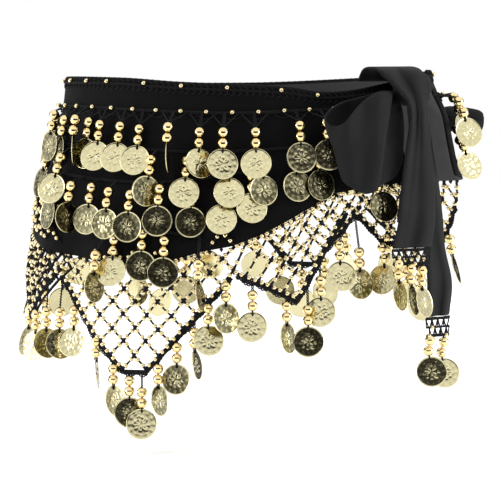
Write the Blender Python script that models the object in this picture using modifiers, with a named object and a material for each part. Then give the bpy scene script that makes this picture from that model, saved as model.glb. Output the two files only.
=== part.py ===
"""A belly-dance hip scarf, worn round the hips and tied at the side.

Metres, +Z up. The origin is the middle of the ring where the hips hold the scarf, at the
height of its top edge. The wearer's front faces -Y, and the knot is at +X.

Every piece is placed on one surface, hip_point(s, z, out): s runs along the cloth from the
front centre (negative to -X and round the back), z is the height, and out is the distance
outside the middle of the cloth.
"""

from math import cos, pi, radians, sin, sqrt

import bmesh
import bpy
import numpy as np
from mathutils import Vector

MM = 0.001

# Seam between neighbouring pieces, and the thickness of each cloth.
SEAM = 0.0003
VELVET_THICK = 0.0018
CREPE_THICK = 0.0016
NET_THICK = 0.0020

# Half width of the worn ring at each height: columns z, half width, both in mm.
HALF_WIDTH = (
    (20, 140.0),
    (0, 142.0),
    (-20, 144.6),
    (-60, 153.5),
    (-95, 164.5),
    (-150, 174.0),
    (-190, 177.0),
    (-260, 178.0),
)
DEPTH_SHARE = 0.78

# The flat length of cloth is measured round this oval.
REFERENCE_HALF_WIDTH = 0.170

# The furthest s of the front half, to either side.
FRONT_REACH = 0.235

# The cloth's soft flutes: height, rate along s and start of each wave.
FLUTES = (
    (0.0024, 62, 0.8),
    (0.0016, 113, 2.1),
)
# The slanted pulls towards the knot: height, the s they run to, rate across them and slant.
PULL_HIGH = 0.0020
PULL_TO = 0.166
PULL_RATE = 150
PULL_SLANT = 0.35
# How far the panel's back end stands off under the ties, at its top and more lower down.
LIFT_HIGH = 0.018
LIFT_LOWER = 0.010

# The panel's two ends, and its top and bottom edges: columns s, z, in mm.
PANEL_START = -0.759
PANEL_END = 0.171
TOP_EDGE = (
    (-759, 9),
    (-722, 8),
    (-680, 5),
    (-600, 1),
    (-480, -3),
    (-300, -1),
    (-230, 3),
    (-120, 3),
    (-60, 0),
    (0, -2),
    (45, -4),
    (80, -8),
    (120, -6),
    (171, 0),
)
VELVET_EDGE = (
    (-759, -75),
    (-720, -80),
    (-600, -84),
    (-480, -86),
    (-310, -87),
    (-270, -96),
    (-240, -112),
    (-210, -127),
    (-175, -135),
    (-140, -139),
    (-110, -143),
    (-80, -145),
    (-50, -139),
    (-25, -132),
    (0, -127),
    (20, -118),
    (50, -103),
    (80, -88),
    (110, -83),
    (171, -79),
)

# The line that the net's points hang from: columns s, z, in mm.
NET_LINE = (
    (-764, -84),
    (-600, -88),
    (-340, -90),
    (-238, -117),
    (-190, -134),
    (-120, -141),
    (-5, -137),
    (14, -124),
    (42, -107),
    (92, -86),
    (171, -80),
)

# Net diamonds: pitch along the cloth, height of half a diamond, share left open.
NET_PITCH = 0.0194
NET_HALF_ROW = 0.0106
NET_OPEN = 0.70

# Net points: columns name, left end in mm, number of diamonds across, number of rows.
NET_POINTS = (
    ("net_back_4", -703.2, 6, 5),
    ("net_back_3", -586.8, 6, 5),
    ("net_back_2", -470.4, 6, 5),
    ("net_back_1", -354.0, 6, 5),
    ("net_side", -237.6, 4, 4),
    ("net_front_long", -160.0, 8, 7),
    ("net_front_mid", -4.8, 5, 5),
    ("net_front_knot", 92.2, 4, 3),
)

# Beads and coins of one drop.
BEAD_RADIUS = 0.0043
COIN_RADIUS = 0.0124
COIN_THICK = 0.0010
THREAD = 0.0007
COIN_BELOW_BEADS = 0.0168
BEAD_WAIST = 0.42
COIN_CORNERS = ((0.924, 0.383), (0.383, 0.924), (-0.383, 0.924), (-0.924, 0.383))
CORD_RADIUS = 0.0011
BRAID_RADIUS = 0.0016

# Hanging the drops: the room a cord needs, the step outward and the swings tried for each
# coin until it clears those hung before it, and the distance out that a swing counts as.
CORD_ROOM = 0.0036
LAYER = 0.0011
MOST_LAYERS = 16
COIN_SWINGS = (0, 12, -12, 24, -24, 36, -36)
SWING_COST = 0.00010

# Chains of loops that carry the rows of drops: columns s, z, in mm.
CHAIN_1 = (
    (-756, -8),
    (-720, -12),
    (-480, -25),
    (-240, -19),
    (-160, -19),
    (-60, -22),
    (0, -23),
    (60, -21),
    (100, -20),
)
CHAIN_2 = (
    (-756, -32),
    (-720, -38),
    (-480, -50),
    (-240, -48),
    (-160, -50),
    (-100, -52),
    (-30, -54),
    (0, -53),
    (60, -50),
    (92, -48),
    (124, -52),
)
CHAIN_3 = (
    (-205, -72),
    (-160, -74),
    (-120, -77),
    (-60, -78),
    (-20, -73),
    (24, -66),
)
CHAIN_4 = (
    (-138, -102),
    (-115, -118),
    (-90, -118),
    (-60, -117),
    (-30, -121),
)

# Front drops of each row: columns x and z of the upper bead, in mm, and the way the coin
# faces, in degrees from the front towards +X.
ROW_1_FRONT = (
    (-147, -26, -70),
    (-142, -30, -58),
    (-134, -29, 62),
    (-126, -31, -4),
    (-115, -33, 0),
    (-97, -34, -6),
    (-82, -36, 4),
    (-57, -34, 84),
    (-31, -38, 2),
    (-13, -38, 44),
    (12, -38, 6),
    (46, -33, 26),
    (66, -31, 12),
)
ROW_2_FRONT = (
    (-157, -56, -66),
    (-144, -60, -30),
    (-70, -60, 14),
    (-41, -61, -8),
    (-8, -61, 6),
    (18, -59, 14),
    (44, -56, 22),
    (62, -55, 30),
    (112, -73.5, 4),
)
ROW_3_FRONT = (
    (-151, -80, -74),
    (-135, -82, 40),
    (-122, -83, 8),
    (-104, -86, -8),
    (-86, -88, 4),
    (-62, -83, -12),
    (-38, -84, 10),
    (-14, -82, -4),
    (9, -73, 8),
)
ROW_4_FRONT = (
    (-115, -136, 52),
    (-101, -124, -6),
    (-79, -119, 8),
    (-60, -124, -4),
    (-33, -142, 74),
)

# Drops at the knot end of the back, placed along the cloth: columns s and z of the upper
# bead in mm, and the way the coin faces.
ROW_1_END = (
    (-754, -15, -4),
    (-736, -12, 56),
)
ROW_2_END = (
    (-753, -42, 4),
    (-735, -38, 48),
)

# Drops round the sides and back, where no photograph shows each one.
BACK_FROM = -0.676
BACK_TO = -0.255
ROW_1_BACK_COUNT = 12
ROW_2_BACK_COUNT = 10
BACK_TURNS = (6, -24, 12, 38, -8, 20, -40)
BACK_HANG = 0.0125

# Drops on the net's edge at the front, as in the rows' tables.
NET_SIDE_FRONT = (
    (-171, -184, -62),
    (-165, -187, -40),
    (-156, -184, 30),
)
NET_LONG_FRONT = (
    (-145, -184, 24),
    (-133, -182, -30),
    (-115, -206, 86),
    (-101, -227, 52),
    (-88, -236, 10),
    (-78, -245, -6),
    (-65, -226, 58),
    (-50, -209, -24),
    (-36, -197, 50),
    (-25, -178, -10),
    (-11, -160, 20),
)
NET_MID_FRONT = (
    (10, -167, -12),
    (37, -176, 60),
    (54, -179, 6),
    (64, -156, -14),
)
NET_KNOT_FRONT = (
    (79, -128, 14),
    (95, -134, 34),
    (114, -131, -30),
)

# Places of the drops on a point of the back's net, in half diamonds from its tip.
BACK_NET_PLACES = (-4, -2, 0, 2, 4)
BACK_NET_HANG = 0.0085

# The crepe loop: columns height z, left x, right x and half depth, in mm.
LOOP_SHAPE = (
    (-2, 88, 122, 7),
    (-12, 76, 127, 9),
    (-24, 68, 130, 11),
    (-36, 69, 131, 11),
    (-52, 75, 130, 10),
    (-68, 79, 127, 9),
    (-80, 84, 118, 7),
    (-88, 93, 108, 5),
)
# Its top and bottom edges: columns turn from the left end round the front, z in mm.
LOOP_TOP = (
    (0, -26),
    (35, -33),
    (62, -29),
    (84, -13),
    (110, -6),
    (180, -7),
    (235, -5),
    (275, -9),
    (320, -15),
    (360, -26),
)
LOOP_BOTTOM = (
    (0, -76),
    (50, -84),
    (90, -87),
    (130, -83),
    (180, -72),
    (230, -80),
    (270, -84),
    (310, -81),
    (360, -76),
)
LOOP_OUT = 0.0255

# The tails: columns z, left x, right x and distance out, in mm. The first tail starts as the
# band that passes over the knot.
TAIL_1 = (
    (1.5, 94, 127, -4.6),
    (11, 98, 132, 0.5),
    (13, 104, 139, 12.0),
    (10.5, 111, 146, 24.0),
    (2, 120, 149, 32.5),
    (-14, 134, 150, 37.0),
    (-34, 136, 151, 35.5),
    (-60, 132, 154, 33.0),
    (-85, 129, 156, 28.5),
    (-110, 126, 156, 23.5),
    (-131, 121, 153, 20.5),
)
TAIL_2 = (
    (-19, 138, 150, 20.0),
    (-60, 144, 157, 16.0),
    (-100, 146, 163, 12.5),
    (-130, 148, 165, 11.5),
    (-160, 150, 171, 11.0),
    (-187, 149, 169, 11.0),
)
TAIL_STEPS = 5
TAIL_1_LACE = 0.012
TAIL_2_LACE = 0.015
TAIL_1_DROPS = (
    (126, -143, 62),
    (135, -147, 70),
    (145.5, -149, 58),
)
TAIL_2_DROPS = (
    (152.5, -206, -8),
    (164, -208, 10),
)

# The knot and the rolled end.
KNOT_MIDDLE = (0.1390, -0.0620, -0.0040)
KNOT_RADII = (0.0235, 0.0125, 0.0160)
KNOT_TURN = 54
ROLL_SEAT = (-0.7050, -0.0265)
ROLL_ROOM = 0.0029
ROLL_TIP = (0.1985, 0.0150, -0.0335)
ROLL_RADII = (0.0115, 0.0130)
ROLL_FLAT = 0.72
ROLL_SIDES = 10
ROLL_SWELL = ((0.0, 0.50), (0.18, 0.92), (0.5, 1.0), (0.9, 0.97), (1.0, 0.80))
KNOT_GROOVE = 0.10
KNOT_GROOVE_RATES = (5.0, 2.2)

# Mesh steps and small fits.
PANEL_COLUMNS = 42
PANEL_ROWS = 5
EDGING_TALL = 0.0024
EDGING_THICK = 0.0022
EDGING_GAP = 0.0004
NET_SEAM = 0.0005
NET_SNAP = 0.0070
NET_BESIDE = 0.004
NET_PART = 0.0002
NET_ROWS_ABOVE = 4
BRAID_BELOW = 0.0031
BRAID_SHORT = 0.22
CHAIN_STEP = 0.024
CORD_END = 0.002
LOOP_AROUND = 18
LOOP_DOWN = 5
LOOP_CREASE = 0.0016
LOOP_CREASE_RATE = 240
TAIL_PLEATS = 3
TAIL_CREASE = 0.0018
TAIL_1_DOWN = 14
TAIL_2_DOWN = 7
LACE_THICK = 0.0018
LACE_OPEN = 0.52
LACE_NARROWS = 0.06
LACE_ROOT = 0.0014

VELVET = ("velvet", (0.012, 0.011, 0.012), 0.95, 0.0)
CREPE = ("crepe", (0.030, 0.030, 0.031), 0.85, 0.0)
CROCHET = ("crochet", (0.014, 0.014, 0.015), 0.90, 0.0)
GOLD = ("gold", (0.80, 0.62, 0.30), 0.25, 1.0)


def curve_at(rows, key):
    """A smooth curve through a two-column table, from a key and to a value in its units."""
    keys = [row[0] for row in rows]
    if keys[0] > keys[-1]:
        rows = rows[::-1]
        keys = keys[::-1]
    key = min(max(key, keys[0]), keys[-1])
    i = min(max(int(np.searchsorted(keys, key)) - 1, 0), len(keys) - 2)
    step = keys[i + 1] - keys[i]
    t = (key - keys[i]) / step
    rise = rows[i + 1][1] - rows[i][1]
    before = max(i - 1, 0)
    after = min(i + 2, len(keys) - 1)
    slope_0 = (rows[i + 1][1] - rows[before][1]) / (keys[i + 1] - keys[before]) * step
    slope_1 = (rows[after][1] - rows[i][1]) / (keys[after] - keys[i]) * step
    bend = t * t * t * (slope_0 + slope_1 - 2 * rise)
    return rows[i][1] + bend + t * t * (3 * rise - 2 * slope_0 - slope_1) + t * slope_0


def edge(rows, s):
    """Height in metres of a line whose table is in mm."""
    return curve_at(rows, s / MM) * MM


def column(rows, key, index):
    """One column of a table in mm, in metres, at the key of the first column."""
    return curve_at([(row[0], row[index]) for row in rows], key / MM) * MM


def arc_table():
    """Length along the reference oval for a fine row of angles, from the front centre."""
    a = REFERENCE_HALF_WIDTH
    b = a * DEPTH_SHARE
    angles = np.linspace(-2 * pi, pi, 1501)
    speed = np.sqrt((a * np.cos(angles)) ** 2 + (b * np.sin(angles)) ** 2)
    steps = (speed[1:] + speed[:-1]) / 2 * np.diff(angles)
    lengths = np.concatenate(([0.0], np.cumsum(steps)))
    lengths -= np.interp(0.0, angles, lengths)
    return angles, lengths


ARC_ANGLES, ARC_LENGTHS = arc_table()


def fade(value, start, full):
    """0 at start, 1 at full, smooth between."""
    t = min(max((value - start) / (full - start), 0.0), 1.0)
    return t * t * (3 - 2 * t)


def fold_out(s, z):
    """How far the cloth stands out of the plain oval: its flutes and its pull to the knot."""
    flutes = sum(height * sin(s * rate + start) for height, rate, start in FLUTES)
    flutes *= fade(z, -0.01, -0.12) * fade(s, 0.16, 0.06)
    pull = PULL_HIGH * sin((z + PULL_SLANT * (s - PULL_TO)) * PULL_RATE)
    lift = LIFT_HIGH + LIFT_LOWER * fade(z, 0.008, -0.030)
    return flutes + pull * fade(s, 0.06, 0.15) + lift * fade(s, -0.655, PANEL_START)


def hip_point(s, z, out=0.0):
    """A point of the worn cloth, out metres outside the middle of its thickness."""
    angle = float(np.interp(s, ARC_LENGTHS, ARC_ANGLES))
    a = curve_at(HALF_WIDTH, z / MM) * MM
    b = a * DEPTH_SHARE
    facing = Vector((sin(angle) / a, -cos(angle) / b, 0.0)).normalized()
    return Vector((a * sin(angle), -b * cos(angle), z)) + facing * (out + fold_out(s, z))


def hip_frame(s, z, out=0.0):
    """The place and the directions along the cloth, down it and out of it."""
    small = 0.0005
    along = (hip_point(s + small, z, out) - hip_point(s - small, z, out)).normalized()
    down = (hip_point(s, z - small, out) - hip_point(s, z + small, out)).normalized()
    outward = down.cross(along).normalized()
    if outward.dot(hip_point(s, z, 1.0) - hip_point(s, z)) < 0:
        outward.negate()
    return hip_point(s, z, out), along, down, outward


def place_along(x, z, out=0.0):
    """The s of the front half whose point has this x."""
    low = -FRONT_REACH
    high = FRONT_REACH
    for _ in range(40):
        middle = (low + high) / 2
        if hip_point(middle, z, out).x < x:
            low = middle
        else:
            high = middle
    return (low + high) / 2


def new_collection(name):
    collection = bpy.data.collections.new(name)
    bpy.context.scene.collection.children.link(collection)
    return collection


def material(spec):
    name, colour, roughness, metallic = spec
    found = bpy.data.materials.get(name)
    if found:
        return found
    made = bpy.data.materials.new(name)
    made.use_nodes = True
    shader = made.node_tree.nodes["Principled BSDF"]
    shader.inputs["Base Color"].default_value = (*colour, 1.0)
    shader.inputs["Roughness"].default_value = roughness
    shader.inputs["Metallic"].default_value = metallic
    return made


def add_object(name, mesh, spec, collection, smooth=True):
    mesh.materials.append(material(spec))
    if smooth:
        mesh.shade_smooth()
        mesh.set_sharp_from_angle(angle=radians(50))
    made = bpy.data.objects.new(name, mesh)
    collection.objects.link(made)
    return made


def mesh_of(name, bm):
    """The bmesh as a mesh whose faces all point out."""
    bmesh.ops.recalc_face_normals(bm, faces=bm.faces)
    mesh = bpy.data.meshes.new(name)
    bm.to_mesh(mesh)
    bm.free()
    return mesh


def grid_sheet(name, across, down, place):
    """An open sheet of quads: a flat grid whose points are moved by place(u, v)."""
    bm = bmesh.new()
    bmesh.ops.create_grid(bm, x_segments=across, y_segments=down, size=0.5)
    for vert in bm.verts:
        vert.co = place(vert.co.x + 0.5, 0.5 - vert.co.y)
    mesh = bpy.data.meshes.new(name)
    bm.to_mesh(mesh)
    bm.free()
    return mesh


def thicken(obj, thickness):
    """Gives an open sheet its cloth thickness, half to each side."""
    solid = obj.modifiers.new("cloth", "SOLIDIFY")
    solid.thickness = thickness
    solid.offset = 0.0
    solid.use_even_offset = False
    return obj


def loft(bm, rings, closed=False):
    """Skins rings of equal point counts, with a cap at each end unless the loft is closed."""
    rows = [[bm.verts.new(point) for point in ring] for ring in rings]
    count = len(rows[0])
    pairs = list(zip(rows, rows[1:]))
    if closed:
        pairs.append((rows[-1], rows[0]))
    for upper, lower in pairs:
        for i in range(count):
            j = (i + 1) % count
            bm.faces.new((upper[i], upper[j], lower[j], lower[i]))
    if not closed:
        bm.faces.new(rows[0])
        bm.faces.new(rows[-1][::-1])


def box_ring(middle, side, depth):
    """Four corners round a point."""
    return [middle - side - depth, middle + side - depth, middle + side + depth, middle - side + depth]


def bead_ring(middle, radius, side, depth):
    """Four corners on a circle of this radius."""
    return [middle - side * radius, middle - depth * radius, middle + side * radius, middle + depth * radius]


class Drop:
    """A thread from its chain, two large beads and a coin that hangs under them."""

    def __init__(self, root, s, z, out, turn):
        self.root = root
        self.s = s
        self.z = z
        self.turn = turn
        self.settle(out)

    def settle(self, out):
        """Places the drop so far out of the cloth that its coin and beads clear it."""
        self.out = out
        bead_1, along, down, outward = hip_frame(self.s, self.z, out)
        bead_2 = hip_frame(self.s, self.z - 2 * BEAD_RADIUS, out)[0]
        coin_z = self.z - 2 * BEAD_RADIUS - COIN_BELOW_BEADS
        coin, along, down, outward = hip_frame(self.s, coin_z, out)
        self.down = (coin - bead_2).normalized()
        flat = Vector((sin(self.turn), -cos(self.turn), 0.0))
        self.face = (flat - self.down * flat.dot(self.down)).normalized()
        self.side = self.down.cross(self.face).normalized()
        self.beads = [bead_1, bead_2]
        self.coin = bead_2 + self.down * COIN_BELOW_BEADS

    def coin_points(self):
        """Points over the coin, for the test of what it would touch."""
        points = [self.coin]
        for share in (0.5, 1.0):
            for i in range(12):
                angle = i * pi / 6
                reach = COIN_RADIUS * share
                points.append(self.coin + (self.side * cos(angle) + self.down * sin(angle)) * reach)
        return points

    def touches(self, other):
        """Whether two drops come nearer than a thin gap."""
        if (self.coin - other.coin).length > 0.06:
            return False
        pairs = ((self, other), (other, self))
        return any(touches_coin(*pair) or touches_beads(*pair) for pair in pairs)

    def thread_points(self):
        """Points down the thread, from its chain to the upper bead."""
        return [self.root.lerp(self.beads[0], i / 8) for i in range(9)]


def touches_coin(first, second):
    """Whether anything of the first drop touches the second one's coin."""
    tests = [(point, COIN_THICK + SEAM) for point in first.coin_points()]
    tests += [(bead, BEAD_RADIUS + COIN_THICK / 2 + SEAM) for bead in first.beads]
    tests += [(point, THREAD + COIN_THICK / 2 + SEAM) for point in first.thread_points()]
    for point, reach in tests:
        offset = point - second.coin
        height = offset.dot(second.face)
        in_plane = (offset - second.face * height).length
        if abs(height) < reach and in_plane < COIN_RADIUS + reach:
            return True
    return False


def touches_beads(first, second):
    """Whether the first drop's beads or thread touch the second one's beads."""
    tests = [(bead, 2 * BEAD_RADIUS + SEAM) for bead in first.beads]
    tests += [(point, BEAD_RADIUS + THREAD + SEAM) for point in first.thread_points()]
    return any((point - bead).length < reach for point, reach in tests for bead in second.beads)


def cloth_clearance(s, z, turn):
    """The least distance out for a drop over cloth, from the width its turned coin needs."""
    outward = hip_frame(s, z)[3]
    outward = Vector((outward.x, outward.y, 0.0)).normalized()
    face = Vector((sin(turn), -cos(turn), 0.0))
    sideways = sqrt(max(0.0, 1.0 - face.dot(outward) ** 2))
    least = VELVET_THICK / 2 + SEAM
    return least + max(BEAD_RADIUS + CORD_ROOM / 3, CORD_ROOM + COIN_RADIUS * sideways)


PLACED = []


def hang(root, s, z, turn_degrees, over_cloth, least_out=0.0):
    """Hangs a drop as near the cloth, and turned as little, as those hung before allow."""
    tries = []
    for swing in COIN_SWINGS:
        turn = radians(turn_degrees + swing)
        start = cloth_clearance(s, z, turn) if over_cloth else 0.0
        for layer in range(MOST_LAYERS):
            out = max(start, least_out) + layer * LAYER
            tries.append((out + abs(swing) * SWING_COST, out, turn))
    tries.sort()
    drop = Drop(root, s, z, tries[0][1], tries[0][2])
    for _, out, turn in tries:
        drop.turn = turn
        drop.settle(out)
        if not any(drop.touches(other) for other in PLACED):
            break
    PLACED.append(drop)
    return drop


def drop_solid(drop, number):
    """A drop as one four-sided strand: thread, bead, bead, coin."""
    side = drop.side
    face = drop.face
    down = drop.down
    upper, lower = drop.beads
    lean = (upper - drop.root).normalized()
    thread_side = (side - lean * side.dot(lean)).normalized()
    thread_face = thread_side.cross(lean).normalized()
    rings = [bead_ring(drop.root, THREAD, thread_side, thread_face)]
    rings.append(bead_ring(upper, BEAD_RADIUS, side, face))
    rings.append(bead_ring((upper + lower) / 2, BEAD_RADIUS * BEAD_WAIST, side, face))
    rings.append(bead_ring(lower, BEAD_RADIUS, side, face))
    for height, width in COIN_CORNERS:
        middle = drop.coin - down * COIN_RADIUS * height
        rings.append(box_ring(middle, side * COIN_RADIUS * width, face * COIN_THICK / 2))
    bm = bmesh.new()
    loft(bm, rings)
    return mesh_of(f"drop_{number}", bm)


def chain_path(rows):
    """The places of a chain along the line of its table."""
    start = rows[0][0] * MM
    end = rows[-1][0] * MM
    count = max(2, round((end - start) / CHAIN_STEP))
    places = [start + (end - start) * i / count for i in range(count + 1)]
    return [(s, edge(rows, s)) for s in places]


def on_path(path, s, out):
    """The point of a cord's middle line at this s, on its straight run between two places."""
    places = [place for place, _ in path]
    s = min(max(s, places[0] + CORD_END), places[-1] - CORD_END)
    i = min(max(int(np.searchsorted(places, s)) - 1, 0), len(places) - 2)
    share = (s - places[i]) / (places[i + 1] - places[i])
    return hip_point(*path[i], out).lerp(hip_point(*path[i + 1], out), share)


def cord_mesh(name, points, radius, sides=0):
    """A cord as a bevelled curve with filled caps, made a closed mesh."""
    curve = bpy.data.curves.new(name, "CURVE")
    curve.dimensions = "3D"
    curve.bevel_depth = radius
    curve.bevel_resolution = sides
    curve.use_fill_caps = True
    spline = curve.splines.new("POLY")
    spline.points.add(len(points) - 1)
    for target, point in zip(spline.points, points):
        target.co = (*point, 1.0)
    holder = bpy.data.objects.new(name, curve)
    bpy.context.scene.collection.objects.link(holder)
    bpy.context.view_layer.update()
    graph = bpy.context.evaluated_depsgraph_get()
    mesh = bpy.data.meshes.new_from_object(holder.evaluated_get(graph))
    bpy.data.objects.remove(holder)
    bm = bmesh.new()
    bm.from_mesh(mesh)
    bmesh.ops.remove_doubles(bm, verts=bm.verts, dist=0.00001)
    bmesh.ops.recalc_face_normals(bm, faces=bm.faces)
    bm.to_mesh(mesh)
    bm.free()
    mesh.materials.clear()
    return mesh


def united(name, backing, strands, spec, collection, cutters):
    """One solid: the backing with every strand joined on by a Boolean union."""
    obj = add_object(name, backing, spec, collection, smooth=False)
    bundle = bpy.data.collections.new(name + "_strands")
    cutters.children.link(bundle)
    for mesh in strands:
        strand = bpy.data.objects.new(mesh.name, mesh)
        strand.hide_render = True
        strand.display_type = "WIRE"
        bundle.objects.link(strand)
    join = obj.modifiers.new("strands", "BOOLEAN")
    join.operation = "UNION"
    join.solver = "EXACT"
    join.operand_type = "COLLECTION"
    join.collection = bundle
    return obj


def velvet_line(s):
    """The panel's lower edge as its mesh has it, straight between its columns."""
    place = (s - PANEL_START) / (PANEL_END - PANEL_START) * PANEL_COLUMNS
    column_left = min(max(int(place), 0), PANEL_COLUMNS - 1)
    share = place - column_left
    step = (PANEL_END - PANEL_START) / PANEL_COLUMNS
    left = edge(VELVET_EDGE, PANEL_START + column_left * step)
    right = edge(VELVET_EDGE, PANEL_START + (column_left + 1) * step)
    return left + (right - left) * share


def velvet_panel(collection):
    """The shaped panel, from its end at the back of the knot round to its front end."""

    def place(u, v):
        s = PANEL_START + u * (PANEL_END - PANEL_START)
        top = edge(TOP_EDGE, s)
        return hip_point(s, top + (edge(VELVET_EDGE, s) - top) * v)

    mesh = grid_sheet("velvet_panel", PANEL_COLUMNS, PANEL_ROWS, place)
    thicken(add_object("velvet_panel", mesh, VELVET, collection), VELVET_THICK)


def top_edging(collection):
    """The crochet edge that stands on the panel's top."""

    def place(u, v):
        s = PANEL_START + u * (PANEL_END - PANEL_START)
        return hip_point(s, edge(TOP_EDGE, s) + EDGING_GAP + EDGING_TALL * (1 - v))

    mesh = grid_sheet("top_edging", PANEL_COLUMNS, 1, place)
    thicken(add_object("top_edging", mesh, CROCHET, collection), EDGING_THICK)


def front_drops(table, path, root_out):
    """Hangs the drops of a front table from a chain's line on the velvet."""
    drops = []
    for x, z, turn in table:
        z *= MM
        s = place_along(x * MM, z, 0.006)
        out = cloth_clearance(s, z, radians(turn))
        s = place_along(x * MM, z, out)
        drops.append(hang(on_path(path, s, root_out), s, z, turn, over_cloth=True))
    return drops


def end_drops(table, path, root_out):
    """Hangs the drops at the knot end of the back."""
    drops = []
    for s, z, turn in table:
        s *= MM
        drops.append(hang(on_path(path, s, root_out), s, z * MM, turn, over_cloth=True))
    return drops


def facing_degrees(s, z):
    """The way the cloth faces at a place, in degrees from the front towards +X."""
    outward = hip_frame(s, z)[3]
    return Vector((0.0, -1.0)).angle_signed(Vector((outward.x, outward.y))) * -180 / pi


def back_drops(path, count, root_out, shift):
    """Hangs a row's drops round the sides and back, each coin turned a little its own way."""
    drops = []
    for i in range(count):
        s = BACK_FROM + (BACK_TO - BACK_FROM) * (i + shift) / count
        root = on_path(path, s, root_out)
        z = root.z - BACK_HANG
        turn = facing_degrees(s, z) + BACK_TURNS[(i * 3 + count) % len(BACK_TURNS)]
        drops.append(hang(root, s, z, turn, over_cloth=True))
    return drops


def chain_rows(collection, cutters):
    """The chains on the velvet, from the lowest layer to the outermost."""
    root_out = VELVET_THICK / 2 + CORD_RADIUS + 5 * SEAM
    rows = (
        ("chain_4", CHAIN_4, ROW_4_FRONT, (), 0, 0.0),
        ("chain_3", CHAIN_3, ROW_3_FRONT, (), 0, 0.0),
        ("chain_2", CHAIN_2, ROW_2_FRONT, ROW_2_END, ROW_2_BACK_COUNT, 0.5),
        ("chain_1", CHAIN_1, ROW_1_FRONT, ROW_1_END, ROW_1_BACK_COUNT, 0.2),
    )
    for name, line, front, end, back_count, shift in rows:
        path = chain_path(line)
        drops = front_drops(front, path, root_out)
        drops += end_drops(end, path, root_out)
        drops += back_drops(path, back_count, root_out, shift)
        cord = cord_mesh(name, [hip_point(s, z, root_out) for s, z in path], CORD_RADIUS)
        strands = [drop_solid(drop, f"{name}_{i}") for i, drop in enumerate(drops)]
        united(name, cord, strands, GOLD, collection, cutters)


def net_node(left, i, m):
    """A crossing of the net: i half pitches from its left end, m half rows below its line."""
    s = left + i * NET_PITCH / 2
    z = edge(NET_LINE, s) - m * NET_HALF_ROW
    steep = abs(velvet_line(s + NET_BESIDE) - velvet_line(s - NET_BESIDE)) / (2 * NET_BESIDE)
    limit = velvet_line(s) - NET_SEAM * (1 + 3 * steep)
    if z > limit - NET_SNAP:
        return s, limit, True
    return s, z, False


def net_cells(left, count, rows):
    """The diamonds of one point: each as its four crossings, top, right, bottom and left."""
    cells = []
    for m in range(-NET_ROWS_ABOVE, rows + 1):
        if m >= 1:
            middles = [2 * i + m for i in range(count - m + 1)]
        else:
            middles = [2 * i + m % 2 for i in range(count)]
        for i in middles:
            around = ((i, m - 1), (i + 1, m), (i, m + 1), (i - 1, m))
            if not net_node(left, i, m + 1)[2]:
                cells.append(around)
    return cells


def net_point(name, left, count, rows, collection):
    """One point of the net, with its diamonds cut through."""
    middle = left + count * NET_PITCH / 2
    half = count * NET_PITCH / 2

    def on_cloth(s, z):
        own_side = NET_PART * (middle - s) / half
        return hip_point(s + own_side, z)

    bm = bmesh.new()
    crossings = {}
    for cell in net_cells(left, count, rows):
        nodes = [net_node(left, i, m)[:2] for i, m in cell]
        s_middle = sum(node[0] for node in nodes) / 4
        z_middle = sum(node[1] for node in nodes) / 4
        outer = []
        inner = []
        for key, (s, z) in zip(cell, nodes):
            if key not in crossings:
                crossings[key] = bm.verts.new(on_cloth(s, z))
            outer.append(crossings[key])
            hole_s = s_middle + (s - s_middle) * NET_OPEN
            hole_z = z_middle + (z - z_middle) * NET_OPEN
            inner.append(bm.verts.new(on_cloth(hole_s, hole_z)))
        for a in range(4):
            b = (a + 1) % 4
            bm.faces.new((outer[a], outer[b], inner[b], inner[a]))
    mesh = mesh_of(name, bm)
    thicken(add_object(name, mesh, CROCHET, collection, smooth=False), NET_THICK)


def braid_path(left, count, rows):
    """The places of the braid under one net point, from its left corner to its right."""
    corners = [(k, k + 1) for k in range(rows)]
    corners += [(i, rows + 1) for i in range(rows, 2 * count - rows + 1, 2)]
    corners += [(2 * count - k, k + 1) for k in range(rows - 1, -1, -1)]
    path = []
    for i, m in corners:
        s = left + i * NET_PITCH / 2
        path.append((s, edge(NET_LINE, s) - m * NET_HALF_ROW - BRAID_BELOW))
    for end, beside in ((0, 1), (-1, -2)):
        s = path[end][0] + (path[beside][0] - path[end][0]) * BRAID_SHORT
        z = path[end][1] + (path[beside][1] - path[end][1]) * BRAID_SHORT
        path[end] = (s, z)
    return path


def braid(name, left, count, rows, table, collection, cutters):
    """The braided edge of one net point, with the drops that hang from it."""
    path = braid_path(left, count, rows)
    drops = []
    for x, z, turn in table:
        s = place_along(x * MM, z * MM)
        drops.append(hang(on_path(path, s, 0.0), s, z * MM, turn, over_cloth=False))
    if not table:
        tip = left + count * NET_PITCH / 2
        for number, steps in enumerate(BACK_NET_PLACES):
            s = tip + steps * NET_PITCH / 2
            root = on_path(path, s, 0.0)
            z = root.z - BACK_NET_HANG
            turn = facing_degrees(s, z) + BACK_TURNS[(number * 2 + count) % len(BACK_TURNS)]
            drops.append(hang(root, s, z, turn, over_cloth=False))
    cord = cord_mesh(name, [hip_point(s, z) for s, z in path], BRAID_RADIUS)
    strands = [drop_solid(drop, f"{name}_{i}") for i, drop in enumerate(drops)]
    united(name, cord, strands, GOLD, collection, cutters)


def nets(collection, cutters):
    """Every net point with its braid."""
    tables = {
        "net_side": NET_SIDE_FRONT,
        "net_front_long": NET_LONG_FRONT,
        "net_front_mid": NET_MID_FRONT,
        "net_front_knot": NET_KNOT_FRONT,
    }
    for name, left, count, rows in NET_POINTS:
        net_point(name, left * MM, count, rows, collection)
    for name, left, count, rows in NET_POINTS[::-1]:
        braid_name = name.replace("net", "braid")
        braid(braid_name, left * MM, count, rows, tables.get(name, ()), collection, cutters)


def front_point(x, z, out):
    """A point of the front half by its sideways place, height and distance out."""
    return hip_point(place_along(x, z, out), z, out)


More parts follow.
